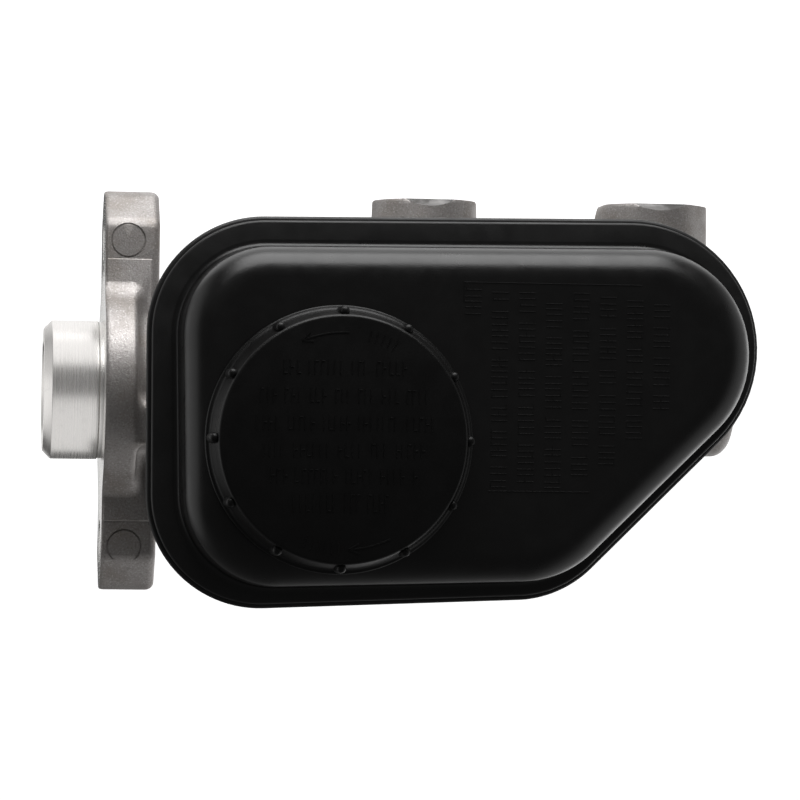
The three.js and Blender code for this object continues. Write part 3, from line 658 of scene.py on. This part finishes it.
def arc(radius, start, end, steps, centre=(0, 0)):
    turn = [start + (end - start) * k / steps for k in range(steps + 1)]
    return [(centre[0] + radius * cos(a), centre[1] + radius * sin(a)) for a in turn]


def snap_ring():
    """Open wire-cut ring with an eyelet at each end for the pliers."""
    gap = 0.24
    outline = arc(13.7, -pi / 2 + gap, 1.5 * pi - gap, 90)
    outline += arc(9.4, 1.5 * pi - gap, 1.5 * pi - gap - 0.34, 6)
    outline += arc(10.9, 1.5 * pi - gap - 0.42, -pi / 2 + gap + 0.42, 84)
    outline += arc(9.4, -pi / 2 + gap + 0.34, -pi / 2 + gap, 6)
    ring = prism("bore_snap_ring", outline, -14.2, -13.0, "x", 0.12)
    holes = []
    for side in (-1, 1):
        angle = -pi / 2 + side * (gap + 0.17)
        centre = (0, 11.3 * cos(angle), 11.3 * sin(angle))
        holes.append(rod("eyelet", 0.85, -15, -12, "x", centre, facets=24))
    combine(ring, holes)
    place(ring, "spring", "housing", "bore_snap_ring")


def washer(name, inner, outer, start, end, body):
    edge = min(0.25, (end - start) * 0.3)
    turned_piece(name, "zinc", body, [
        (inner, start, edge), (outer, start, edge), (outer, end, edge), (inner, end, edge)], closed=True,
        steps=2)


def cup(name, root, back, lip, body):
    """Rubber cup with a solid back and two lips around an open groove."""
    sense = copysign(1, lip - back)
    web = back + 2 * sense
    inner = root + GAP
    wall = 0.3 * (PISTON_R - inner)
    turned_piece(name, "rubber", body, [
        (inner, back, 0.25), (PISTON_R - 0.6, back, 0.5), (PISTON_R - 0.5, web),
        (PISTON_R, lip - 0.5 * sense), (PISTON_R, lip, 0.2), (PISTON_R - wall, lip, 0.2),
        (PISTON_R - wall - 0.2, web, 0.2), (inner + wall + 0.2, web, 0.2), (inner + wall, lip, 0.2),
        (inner, lip, 0.2)], closed=True, steps=2)


def pistons():
    r = PISTON_R
    turned_piece("primary_piston", "anodised", "primary_group", [
        (0, 12), (2.8, 12, 0.5), (6.2, 9, 1.5), (6.2, -9.2), (7.4, -10.2), (r - 1, -10.2), (r, -9.2, 0.2),
        (r, 7.6, 0.2), (9, 7.6, 0.3), (9, 13.4, 0.3), (r, 13.4, 0.2), (r, 16, 0.4), (7.5, 18, 1.2),
        (7.5, 48, 1.2), (r, 50, 0.4), (r, 53.4, 0.2), (CUP_ROOT, 53.4, 0.3), (CUP_ROOT, 61, 0.4), (2.3, 61),
        (2.3, 50), (0, 50)], facets=128)
    root = CUP_ROOT + 1
    turned_piece("secondary_piston", "anodised", "secondary_group", [
        (0, 112), (6, 112, 0.6), (6, 98.4), (6.4, 98), (r - 0.3, 98), (r, 98.3), (r, 99.4),
        (root, 99.4, 0.3), (root, 104.6, 0.3), (r, 104.6, 0.2), (r, 106.2, 0.2), (root, 106.2, 0.3),
        (root, 110.8, 0.3), (r, 110.8, 0.2), (r, 112, 0.3), (8, 113, 1.0), (8, 135, 1.0), (r, 135, 0.2),
        (r, 137, 0.2), (CUP_ROOT, 137, 0.3), (CUP_ROOT, 142.3, 0.4), (0, 142.3)], facets=128)
    turned_piece("primary_spring_bolt", "zinc", "primary_group", [
        (0, 51), (2, 51), (2, 89.5, 0.3), (4.5, 89.5, 0.3), (4.5, 92, 0.9), (1.8, 92), (1.5, 91.3),
        (0, 91.3)], facets=48)
    turned_piece("primary_spring_retainer", "zinc", "secondary_group", [
        (2.6, 88, 0.3), (6.2, 88, 1.0), (6.2, 96.5, 0.8), (11.4, 96.5, 0.3), (11.4, 97.6, 0.3),
        (5.2, 97.6, 1.0), (5.2, 89.2, 0.4), (2.6, 89.2, 0.3)], closed=True, facets=96)


def coil_spring(name, rear, front, radius, wire, turns, body):
    """Compression spring along +X whose end coils lie flat and are ground square."""
    steps = int(turns * 40)
    low = rear + wire
    high = front - wire
    dead = 2 * wire + 0.1
    rings = []
    for k in range(steps + 1):
        turn = turns * k / steps
        along = np.interp(turn, [0, 1, turns - 1, turns], [low, low + dead, high - dead, high])
        angle = TAU * turn
        radial = np.array([0, cos(angle), sin(angle)])
        centre = radial * radius + np.array([along, 0, 0])
        rings.append(np.array([
            centre + radial * wire * cos(a) + np.array([wire * sin(a), 0, 0])
            for a in np.arange(14) * TAU / 14]))
    spring = ring_stack(name, rings, smooth_angle=60)
    place(spring, "spring", body, name)
    return spring


# ---- reservoir ----


def outline(arcs, inset):
    """Four arcs and their outer tangents, drawn in by an inset, always with as many points."""
    legs = []
    for i, (x, y, r) in enumerate(arcs):
        after_x, after_y, after_r = arcs[(i + 1) % 4]
        heading = atan2(after_y - y, after_x - x)
        legs.append(heading - acos((r - after_r) / hypot(after_x - x, after_y - y)))
    points = []
    for i, (x, y, r) in enumerate(arcs):
        start = legs[i - 1]
        sweep = (legs[i] - start) % TAU
        points += arc(r - inset, start, start + sweep, 26, (x, y))
        after_x, after_y, after_r = arcs[(i + 1) % 4]
        normal = np.array([cos(legs[i]), sin(legs[i])])
        first = np.array([x, y]) + normal * (r - inset)
        last = np.array([after_x, after_y]) + normal * (after_r - inset)
        points += [tuple(first + (last - first) * k / 8) for k in range(1, 8)]
    return points


def ring_of(arcs, inset, z):
    return np.array([(u, v, z) for u, v in outline(arcs, inset)])


def moulding(name, arcs, corners, steps=6):
    """A closed solid over such an outline: corners are (inset, height[, corner radius])."""
    return ring_stack(name, [ring_of(arcs, inset, z) for inset, z in rounded(corners, steps=steps)])


def screw_ridge(name, centre, radius, depth, bottom, lead, turns, width):
    """A screw ridge that stands out from a radius (or in, for a negative depth) and fades at its ends."""
    rings = []
    steps = int(turns * 72)
    for k in range(steps + 1):
        share = k / steps
        angle = TAU * turns * share
        fade = min(1.0, 12 * share, 12 * (1 - share))
        height = bottom + lead * turns * share
        root = radius - copysign(0.4, depth)
        crest = radius + depth * fade
        section = [(root, -width), (root, width), (crest, width * 0.35), (crest, -width * 0.35)]
        rings.append(np.array([
            (centre[0] + r * cos(angle), centre[1] + r * sin(angle), height + z) for r, z in section]))
    return ring_stack(name, rings, smooth_angle=50)


def raised_strokes(name, strokes, base, height, centre=(0, 0)):
    """Flat raised strokes: each is a centre line of (x, y) points and a width."""
    slope = 0.12
    points = []
    faces = []
    for line, width in strokes:
        half = width / 2
        profile = ((-half, base), (slope - half, height), (half - slope, height), (half, base))
        line = np.array(line, float) + centre
        ahead = np.gradient(line, axis=0)
        side = np.stack([-ahead[:, 1], ahead[:, 0]], 1)
        side /= np.linalg.norm(side, axis=1)[:, None]
        first = len(points)
        for at, across in zip(line, side):
            for offset, z in profile:
                points.append((*(at + across * offset), z))
        for k in range(len(line) - 1):
            a = first + 4 * k
            for n in range(4):
                m = (n + 1) % 4
                faces.append([a + n, a + m, a + 4 + m, a + 4 + n])
        for end in (first, first + 4 * (len(line) - 1)):
            faces.append([end, end + 1, end + 2, end + 3])
    return mesh_piece(name, points, faces, 30)


def tally_row(rng, start, end, height):
    """A row of plain upright strokes in uneven groups, from one end of a base line to the other."""
    start, end = np.array(start, float), np.array(end, float)
    length = np.linalg.norm(end - start)
    ahead = (end - start) / length
    up = np.array([-ahead[1], ahead[0]])
    group_gap = 1.6
    strokes = []
    at = 0.0
    while at < length - 1.2:
        for _ in range(rng.integers(3, 8)):
            if at > length - 0.6:
                break
            foot = start + ahead * at
            strokes.append(([foot, foot + up * height], STROKE))
            if rng.random() < 0.55:
                level = up * height * rng.choice([0.06, 0.5, 0.94])
                strokes.append(([foot + level + ahead * 0.15, foot + level + ahead * 0.95], STROKE))
            at += rng.uniform(1.35, 1.9)
        at += group_gap
    return strokes


def reservoir_upper():
    shell = moulding("reservoir_upper", RIM_ARCS, [
        (1.3, SEAM + 0.15), (1.3, SEAM + 2.85, 0.7), (12, SEAM + 2.85)])
    foot = SEAM + 2.87
    paint(shell, "rim_plastic")
    dome = moulding("dome", DOME_ARCS, [
        (-2.4, foot - 1), (-2.4, foot), (-0.45, foot, 1.4), (0.15, 74.5, 3.0), (0.15, DECK, 8.2),
        (10, DECK)], 8)
    combine(shell, paint(dome, "plastic"), "UNION")
    hollow = moulding("hollow", DOME_ARCS, [
        (WALL - 0.4, SEAM - 2), (WALL, DECK - WALL, 5.8), (14, DECK - WALL)], 5)
    at = (*CAP_AT, 0)
    neck = lathe("neck", [
        (0, DECK - 1.5), (33.5, DECK - 1.5), (33.5, DECK + 0.04), (30.2, DECK + 0.04),
        (29, DECK + 1.0, 0.5), (29, 91, 0.5), (0, 91)], "z", at, 128)
    mouth = lathe("mouth", [
        (0, SEAM), (26, SEAM), (26, 90.6), (26.4, 91), (26.4, 94), (0, 94)], "z", at, 128)
    ridge = screw_ridge("ridge", CAP_AT, 29, 1.15, 85.9, THREAD_LEAD, 0.55, 0.8)
    combine(shell, paint(neck, "plastic"), "UNION")
    combine(shell, [paint(hollow, "plastic"), paint(mouth, "plastic")])
    combine(shell, paint(ridge, "plastic"), "UNION")
    post = lathe("post", [
        (0, 62.3), (3, 62.3), (8, 62.3, 0.5), (8, 79), (9.2, 80.4), (0, 80.4)], "z", (*SWITCH, 0), 64)
    pilot = lathe("pilot", [(0, 55.5), (3, 55.5, 0.4), (3, 63), (0, 63)], "z", (*SWITCH, 0), 48)
    combine(shell, [post, pilot], "UNION")
    place(shell, "plastic", "housing", "reservoir_upper", "reservoir_upper_flange")
    place(rim_bead(), "rim_plastic", "housing")
    deck_marks()


def rim_bead():
    """Weld bead squeezed out between the two flanges."""
    section = ((2.2, -0.2), (1.75, -0.12), (1.6, 0), (1.75, 0.12), (2.2, 0.2), (3.4, 0))
    rings = [ring_of(RIM_ARCS, inset, SEAM + rise) for inset, rise in section]
    return ring_stack("reservoir_weld_bead", rings, loop=True, smooth_angle=60)


def deck_marks():
    """Plain moulded frame and rows of strokes on the deck, where the real part has lettering."""
    rng = np.random.default_rng(7)
    strokes = []
    frame_stroke = 0.4
    left, top, bottom = 92.5, 28.9, -26.6
    for line in ([(left, 23.4), (left, top)], [(left, top), (140.5, top)], [(99.5, bottom), (127, bottom)]):
        strokes.append((line, frame_stroke))
    ends = {95: (20.5, 28.5), 102.3: (-25.5, 27.5), 109.6: (-24, 28), 116.9: (-25.5, 26.5),
            124.2: (-22, 28), 131.5: (-19, 27), 138.8: (-12, 28), 146.1: (-4, 25)}
    for x, (low, high) in ends.items():
        if hypot(x + 4 - CAP_AT[0], high - CAP_AT[1]) > CAP_CLEAR_R:
            strokes += tally_row(rng, (x + 2.2, low), (x + 2.2, high), 4.4)
    marks = raised_strokes("reservoir_deck_marks", strokes, DECK - 0.12, DECK + 0.13)
    place(marks, "plastic", "housing")


def reservoir_lower():
    shell = moulding("reservoir_lower", RIM_ARCS, [
        (24, FLOOR), (TUB_INSET + 0.5, FLOOR, 6), (TUB_INSET + 0.1, SEAM - 2.85, 1.2),
        (0, SEAM - 2.85, 0.6), (0, SEAM - 0.15, 0.9), (TUB_INSET + 1, SEAM - 0.15)])
    hollow = moulding("hollow", RIM_ARCS, [
        (26, FLOOR + WALL), (TUB_INSET + WALL + 0.4, FLOOR + WALL, 3.4), (TUB_INSET + WALL, SEAM + 2)])
    combine(shell, hollow)
    adds = []
    for side in INLETS:
        adds.append(lathe("nipple", [
            (0, 18), (5.6, 18), (6.5, 19.4, 0.3), (6.5, FLOOR - 1.2, 0.8), (8.0, FLOOR + 0.4),
            (8.0, FLOOR + 1.2), (0, FLOOR + 1.2)], "z", (INLETS[side][0], 0, 0), 72))
    for pin_x, _, _, y0, y1 in LUGS.values():
        rear, front, foot, root = pin_x - 6, pin_x + 6, 20.9, FLOOR + 1
        tab = rounded([(rear, root), (rear, foot, 4.5), (front, foot, 4.5), (front, root)], True, 6)
        tab = [(z, x) for x, z in tab]
        for low in (y0 - GAP - TAB, y1 + GAP):
            adds.append(prism("tab", tab, low, low + TAB, "y", 0.35))
    x, y = SWITCH
    adds.append(lathe("guide", [
        (0, FLOOR + 0.2), (6, FLOOR + 0.2), (6, FLOOR + WALL), (4.2, FLOOR + WALL + 1.4, 0.6),
        (4.2, 54.5, 0.5), (0, 54.5)], "z", (x, y, 0), 64))
    combine(shell, adds, "UNION")
    baffle = block("baffle", (80, -80, FLOOR + 1), (82, 80, 50), 0.0, 0.4)
    trim = moulding("trim", RIM_ARCS, [(TUB_INSET + 1.2, FLOOR), (TUB_INSET + 1.2, SEAM)])
    combine(baffle, trim, "INTERSECT")
    combine(shell, baffle, "UNION")
    cuts = [rod("drain", 4.5, 17, 34, "z", (INLETS[side][0], 0, 0)) for side in INLETS]
    cuts.append(lathe("stem_hole", [(0, 29), (2.8, 29), (2.8, 53, 0.6), (0, 53)], "z", (x, y, 0), 48))
    for pin_x, _, _, y0, y1 in LUGS.values():
        cuts.append(rod("pin_hole", PIN_HOLE_R, y0 - 6, y1 + 6, "y", (pin_x, 0, PIN_Z), facets=32))
    combine(shell, cuts)
    paint(shell, "plastic")
    shell.data.materials.append(FINISHES["rim_plastic"])
    for face in shell.data.polygons:
        face.material_index = int(face.center.z > (SEAM - 2.9) * MM)
    place(shell, "plastic", "housing", "reservoir_lower", "reservoir_lower_flange")


def grommet(side):
    inner = 6.5 + GAP
    low = POCKET_FLOOR + GAP
    shelf = INLET_TOP + GAP
    outer = POCKET_R - GAP
    x = INLETS[side][0]
    turned_piece("grommet_" + side, "rubber", "housing", [
        (inner, low, 0.5), (outer - 0.8, low), (outer, low + 1.2), (outer, 20.4), (outer - 0.5, 21),
        (outer, 21.6), (outer, shelf, 0.3), (14.2, shelf, 0.5), (14.2, FLOOR - 0.6, 0.9),
        (11.5, FLOOR - 0.6), (11.0, FLOOR - 0.9), (10.5, FLOOR - 0.6), (inner, FLOOR - 0.6, 0.6)], "z",
        (x, 0, 0), 96, closed=True, steps=3)


def reservoir_pin(side):
    pin_x, _, _, y0, y1 = LUGS[side]
    gap = 0.28
    centre = (PIN_Z, pin_x)
    outline = arc(2.0, gap, TAU - gap, 40, centre) + arc(1.2, TAU - gap * 1.6, gap * 1.6, 36, centre)
    low = y0 - GAP - TAB
    high = y1 + GAP + TAB
    pin = prism("reservoir_pin_" + side, outline, low, high, "y", 0.22)
    place(pin, "spring", "housing", "reservoir_pin_" + side)


# ---- level switch and float ----


def level_switch():
    x, y = SWITCH
    low, high = 20.5, 29.9
    middle = (low + high) / 2
    body = block("level_switch", (x - 10, -37, low), (x + 10, -21, high), 2.0, 0.6)
    shell = rectangle(x - 7, low, x + 7, high, 1.6)
    shroud = prism("shroud", [(z, u) for u, z in shell], -51, -36, "y", 0.3)
    stem = lathe("stem", [
        (0, high - 1), (4.2, high - 1), (2.5, high, 0.0), (2.5, 51, 1.2), (0, 51)], "z", (x, y, 0), 48)
    combine(body, [shroud, stem], "UNION")
    mouth = rectangle(x - 5.5, middle - 3.2, x + 5.5, middle + 3.2, 1.0)
    socket = prism("socket", [(z, u) for u, z in mouth], -52, -40, "y")
    slots = []
    for side in (-1, 1):
        at = x + side * 3.5
        slots.append(block("slot", (at - 0.7, -48.3, middle - 1.7), (at + 0.7, -34.7, middle + 1.7)))
        slots.append(block("window", (at - 1.2, -49.8, high - 0.9), (at + 1.2, -46.2, high + 1)))
        edge = x + side * 10
        for y0, y1 in ((-33.5, -32.5), (-31.3, -30.3)):
            slots.append(block("grip", (edge - 0.5, y0, low - 1), (edge + 0.5, y1, high + 1)))
    combine(body, [socket, *slots])
    place(body, "cap_plastic", "housing", "level_switch")
    for side, name in ((-1, "left"), (1, "right")):
        at = x + side * 3.5
        start = (at - 0.4, -48, middle - 1.4)
        end = (at + 0.4, -35, middle + 1.4)
        blade = block("switch_blade_" + name, start, end, 0.0, 0.15)
        place(blade, "brass", "housing", "switch_blade_" + name)


def float_and_magnet():
    x, y = SWITCH
    top = 44
    turned_piece("level_float", "white", "float_group", [
        (4.6, 34, 0.6), (11, 34, 1.6), (11, top, 1.0), (8.0, top, 0.2), (8.0, top - 3.0), (5.0, top - 3.0),
        (5.0, top, 0.15), (4.6, top, 0.15)], "z", (x, y, 0), 96, closed=True)
    turned_piece("float_magnet", "ferrite", "float_group", [
        (5.3, top - 2.7, 0.2), (7.7, top - 2.7, 0.2), (7.7, top, 0.3), (5.3, top, 0.3)], "z", (x, y, 0), 80,
        closed=True, steps=2)


# ---- filler cap ----


def filler_cap():
    x, y = CAP_AT
    centre = (x, y, 0)
    cap = lathe("filler_cap", [
        (0, 83.4), (35.2, 83.4), (35.6, 83.0), (35.6, 84.6, 0.5), (34.3, 85.0, 1.2), (33.1, 93.0, 0.6),
        (32.7, 95.2, 0.9), (0, 95.2)], "z", centre, 180)
    knob_count, knob_r = 12, 33.7
    knobs = []
    for k in range(knob_count):
        angle = TAU * k / knob_count
        at = (x + knob_r * cos(angle), y + knob_r * sin(angle), 0)
        knobs.append(lathe("knob", [
            (0, 83.2), (1.5, 83.2), (1.5, 90), (1.2, 94.2, 1.0), (0, 94.4)], "z", at, 28))
    combine(cap, knobs, "UNION")
    inside_r = 31.4
    hollow = lathe("hollow", [
        (0, 82), (32.0, 82), (inside_r, 83.4, 0.3), (inside_r, 93.2, 0.8), (0, 93.2)], "z", centre, 160)
    combine(cap, hollow)
    ridge = screw_ridge("ridge", CAP_AT, inside_r, -0.65, 83.9, THREAD_LEAD, 0.4, 0.6)
    combine(cap, ridge, "UNION")
    place(cap, "cap_plastic", "cap", "filler_cap")
    cap_marks()


def cap_marks():
    """Two arrows for the turning direction, and plain strokes where the real cap has lettering."""
    rng = np.random.default_rng(11)
    strokes = []
    rows = ((17.0, -16, 17, 3.6), (9.6, -22, 23, 3.6), (2.4, -23, 24, 3.6), (-4.6, -21, 23, 3.6),
            (-11.4, -19, 20, 3.6), (-19.0, -13, 12, 4.8))
    for level, left, right, height in rows:
        strokes += tally_row(rng, (left, level), (right, level), height)
    arrow_stroke = 0.55
    for start, end, radius in ((88, 113, 28.0), (-64, -86, 28.8)):
        curve = arc(radius, radians(start), radians(end), 14)
        strokes.append((curve, arrow_stroke))
        tip = np.array(curve[-1])
        ahead = tip - np.array(curve[-2])
        ahead /= np.linalg.norm(ahead)
        side = np.array([-ahead[1], ahead[0]])
        for sign in (-1, 1):
            strokes.append(([tip + ahead * 0.4, tip - ahead * 2.4 + side * sign * 1.3], arrow_stroke))
    for start, end, radius in ((62, 80, 26.6), (-92, -112, 27.2)):
        for angle in np.radians(np.arange(start, end, copysign(3.6, end - start))):
            inner = (radius * cos(angle), radius * sin(angle))
            outer = ((radius + 2.8) * cos(angle), (radius + 2.8) * sin(angle))
            strokes.append(([inner, outer], STROKE))
    marks = raised_strokes("filler_cap_marks", strokes, 95.1, 95.36, CAP_AT)
    place(marks, "cap_plastic", "cap")


def cap_seal():
    x, y = CAP_AT
    turned_piece("cap_slip_washer", "white", "cap_washer", [
        (20, 92.4, 0.12), (28, 92.4, 0.12), (28, 92.9, 0.12), (20, 92.9, 0.12)], "z", (x, y, 0), 128,
        closed=True, steps=1)
    turned_piece("cap_diaphragm", "rubber", "cap_seal", [
        (0, 88.0), (16.5, 88.0, 0.8), (16.5, 83.4, 1.0), (24.8, 83.4, 1.6), (24.8, 91.3, 0.3),
        (28.5, 91.3, 0.25), (28.5, 92.1, 0.25), (23.5, 92.1, 0.6), (23.5, 84.7, 0.7), (17.8, 84.7, 0.5),
        (17.8, 89.3, 1.0), (0, 89.3)], "z", (x, y, 0), 128)


# ---- assembly ----

casting = cylinder_body()
spigot = pilot_spigot()
for side in OUTLETS:
    outlet_seat(side)
stop_bolt()
snap_ring()
washer("bore_stop_washer", 7.8, PISTON_R, -12.6, -10.6, "housing")
pistons()
cup("primary_rear_seal", 9, 8, 13, "primary_group")
cup("primary_cup", CUP_ROOT, 53.8, 59, "primary_group")
cup("secondary_rear_cup", CUP_ROOT + 1, 104.2, 99.8, "secondary_group")
cup("secondary_middle_cup", CUP_ROOT + 1, 106.6, 110.4, "secondary_group")
cup("secondary_front_cup", CUP_ROOT, 137.4, 142, "secondary_group")
washer("primary_cup_washer", CUP_ROOT + GAP, 11.6, 59.4, 60.6, "primary_group")
washer("secondary_cup_washer", 3, 11.6, 142.6, 143.6, "secondary_group")
washer("secondary_spring_seat", 3, 11.6, 170.3, 171.6, "housing")
primary_spring = coil_spring("primary_spring", 61.2, 96.4, 8.7, 1.3, 5.5, "secondary_group")
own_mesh(primary_spring)
secondary_spring = coil_spring("secondary_spring", 143.9, 169.9, 8.7, 1.15, 5.5, "housing")
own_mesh(secondary_spring)
reservoir_upper()
reservoir_lower()
for side in INLETS:
    grommet(side)
    reservoir_pin(side)
level_switch()
float_and_magnet()
filler_cap()
cap_seal()

# ---- stage, light and camera ----


def hide_from(item, *rays):
    for ray in rays:
        setattr(item, "visible_" + ray, False)


def pale_stage():
    finish = Finish("stage_paper", (0.82, 0.82, 0.82), 0.8)
    finish.tint(finish.noise(3, 2), 0.3, 0.7, 0.5, (0.84, 0.84, 0.84))
    finish.surface({"Specular IOR Level": 0.1, "Emission Color": (1, 1, 1, 1), "Emission Strength": 0.8})
    FINISHES["stage"] = finish.material
    half, level = 6, -0.16
    mesh = bpy.data.meshes.new("studio_floor")
    mesh.from_pydata([(x, y, level) for x, y in rectangle(-half, -half, half, half)], [], [(0, 1, 2, 3)])
    floor = paint(linked("studio_floor", mesh), "stage")
    hide_from(floor, "glossy", "shadow")
    dome_mesh = bpy.data.meshes.new("studio_backdrop")
    work = bmesh.new()
    bmesh.ops.create_uvsphere(work, u_segments=48, v_segments=24, radius=5.5)
    work.to_mesh(dome_mesh)
    work.free()
    dome_mesh.shade_smooth()
    dome = paint(linked("studio_backdrop", dome_mesh), "stage")
    hide_from(dome, "glossy", "diffuse", "shadow", "transmission")


def soft_world():
    """A light tent: bright on the outlet side and the left, with a dark opening overhead."""
    world = bpy.data.worlds.new("light_tent")
    bpy.context.scene.world = world
    world.use_nodes = True
    tent = Nodes(world.node_tree)
    looking = tent.node("TexCoord", {})["Generated"]
    total = None
    for direction, start, full, strength in LOBES:
        inputs = {0: looking, 1: Vector(direction).normalized()}
        facing = tent.node("VectorMath", inputs, operation="DOT_PRODUCT")["Value"]
        lobe = tent.remap(facing, start, full, 0.0, strength)
        total = tent.node("Math", {0: total, 1: lobe}, operation="ADD")[0] if total else lobe
    tent.feed(tent.tree.nodes["Background"], {"Color": (1, 1, 1, 1), "Strength": total})


# Each lobe of the tent: direction, cosine where it starts, cosine where it is full, strength.
LOBES = (
    ((0, 1, -0.9), 0.72, 0.94, 1.20),
    ((-1, 0.1, -0.25), 0.70, 0.95, 0.62),
    ((1, -0.3, -0.4), 0.40, 0.90, 0.50),
    ((0.65, -0.15, -1), 0.87, 0.97, 0.80),
    ((0, 0, 1), -1.0, -0.99, 0.08),
)


def area_light(name, place_at, aim, size, radiance):
    data = bpy.data.lights.new(name, "AREA")
    data.shape = "RECTANGLE"
    data.size, data.size_y = size
    data.energy = radiance * pi * size[0] * size[1]
    lamp = linked(name, data)
    lamp.location = place_at
    lamp.rotation_euler = (Vector(aim) - Vector(place_at)).to_track_quat("-Z", "Y").to_euler()
    hide_from(lamp, "camera")
    return lamp


def link_light(lamp, name, state, piece):
    """Lets a light reach one piece only, or everything but that piece."""
    receivers = bpy.data.collections.new(name)
    receivers.objects.link(piece)
    receivers.collection_objects[0].light_linking.link_state = state
    lamp.light_linking.receiver_collection = receivers


def camera():
    """A long lens above the part, a little off the vertical."""
    distance = 1.05
    view_width = 0.2304
    tilt, lean, roll = radians(7.0), radians(-0.9), radians(0.8)
    target = Vector((85.784, -1.442, 0)) * MM
    back = Vector((-sin(tilt) * cos(lean), sin(lean), cos(tilt) * cos(lean)))
    right = Vector((0, 1, 0)).cross(back).normalized()
    up = back.cross(right)
    turned_right = right * cos(roll) + up * sin(roll)
    turned_up = up * cos(roll) - right * sin(roll)
    data = bpy.data.cameras.new("camera")
    data.sensor_width = 36
    data.lens = data.sensor_width * distance / view_width
    data.clip_end = 50
    viewer = linked("camera", data)
    viewer.matrix_world = Matrix.Translation(target + back * distance) @ Matrix(
        (turned_right, turned_up, back)).transposed().to_4x4()
    bpy.context.scene.camera = viewer


pale_stage()
soft_world()
key = area_light("key_softbox", (0.085, 0.34, 0.16), (0.085, 0, 0.05), (0.36, 0.30), 4.6)
link_light(key, "all_but_spigot", "EXCLUDE", spigot)
for name, place_at, size, radiance in (
        ("spigot_back_card", (-0.02, 0.28, 0.102), (0.40, 0.36), 1.15),
        ("spigot_front_card", (-0.02, -0.27, 0.11), (0.40, 0.86), 0.80),
        ("spigot_top_card", (-0.02, 0.11, 0.48), (0.40, 0.42), 0.15),
        ("spigot_left_card", (-0.35, -0.14, -0.02), (0.50, 0.40), 0.42),
        ("spigot_face_card", (-0.12, 0, -0.35), (0.24, 0.36), 0.80)):
    link_light(area_light(name, place_at, (-0.02, 0, 0), size, radiance), name, "INCLUDE", spigot)
for name, place_at, aim, size, radiance in (
        ("casting_fill", (0.05, -0.35, 0.10), (0.05, 0, 0), (0.60, 0.40), 0.30),
        ("casting_ear_card", (0.01, 0.12, 0.10), (0.01, 0.035, 0), (0.10, 0.05), 2.2),
        ("casting_face_card", (-0.06, 0, -0.35), (0, 0, 0), (0.10, 0.34), 0.80)):
    link_light(area_light(name, place_at, aim, size, radiance), name, "INCLUDE", casting)
camera()
bpy.context.scene.view_settings.view_transform = "Standard"
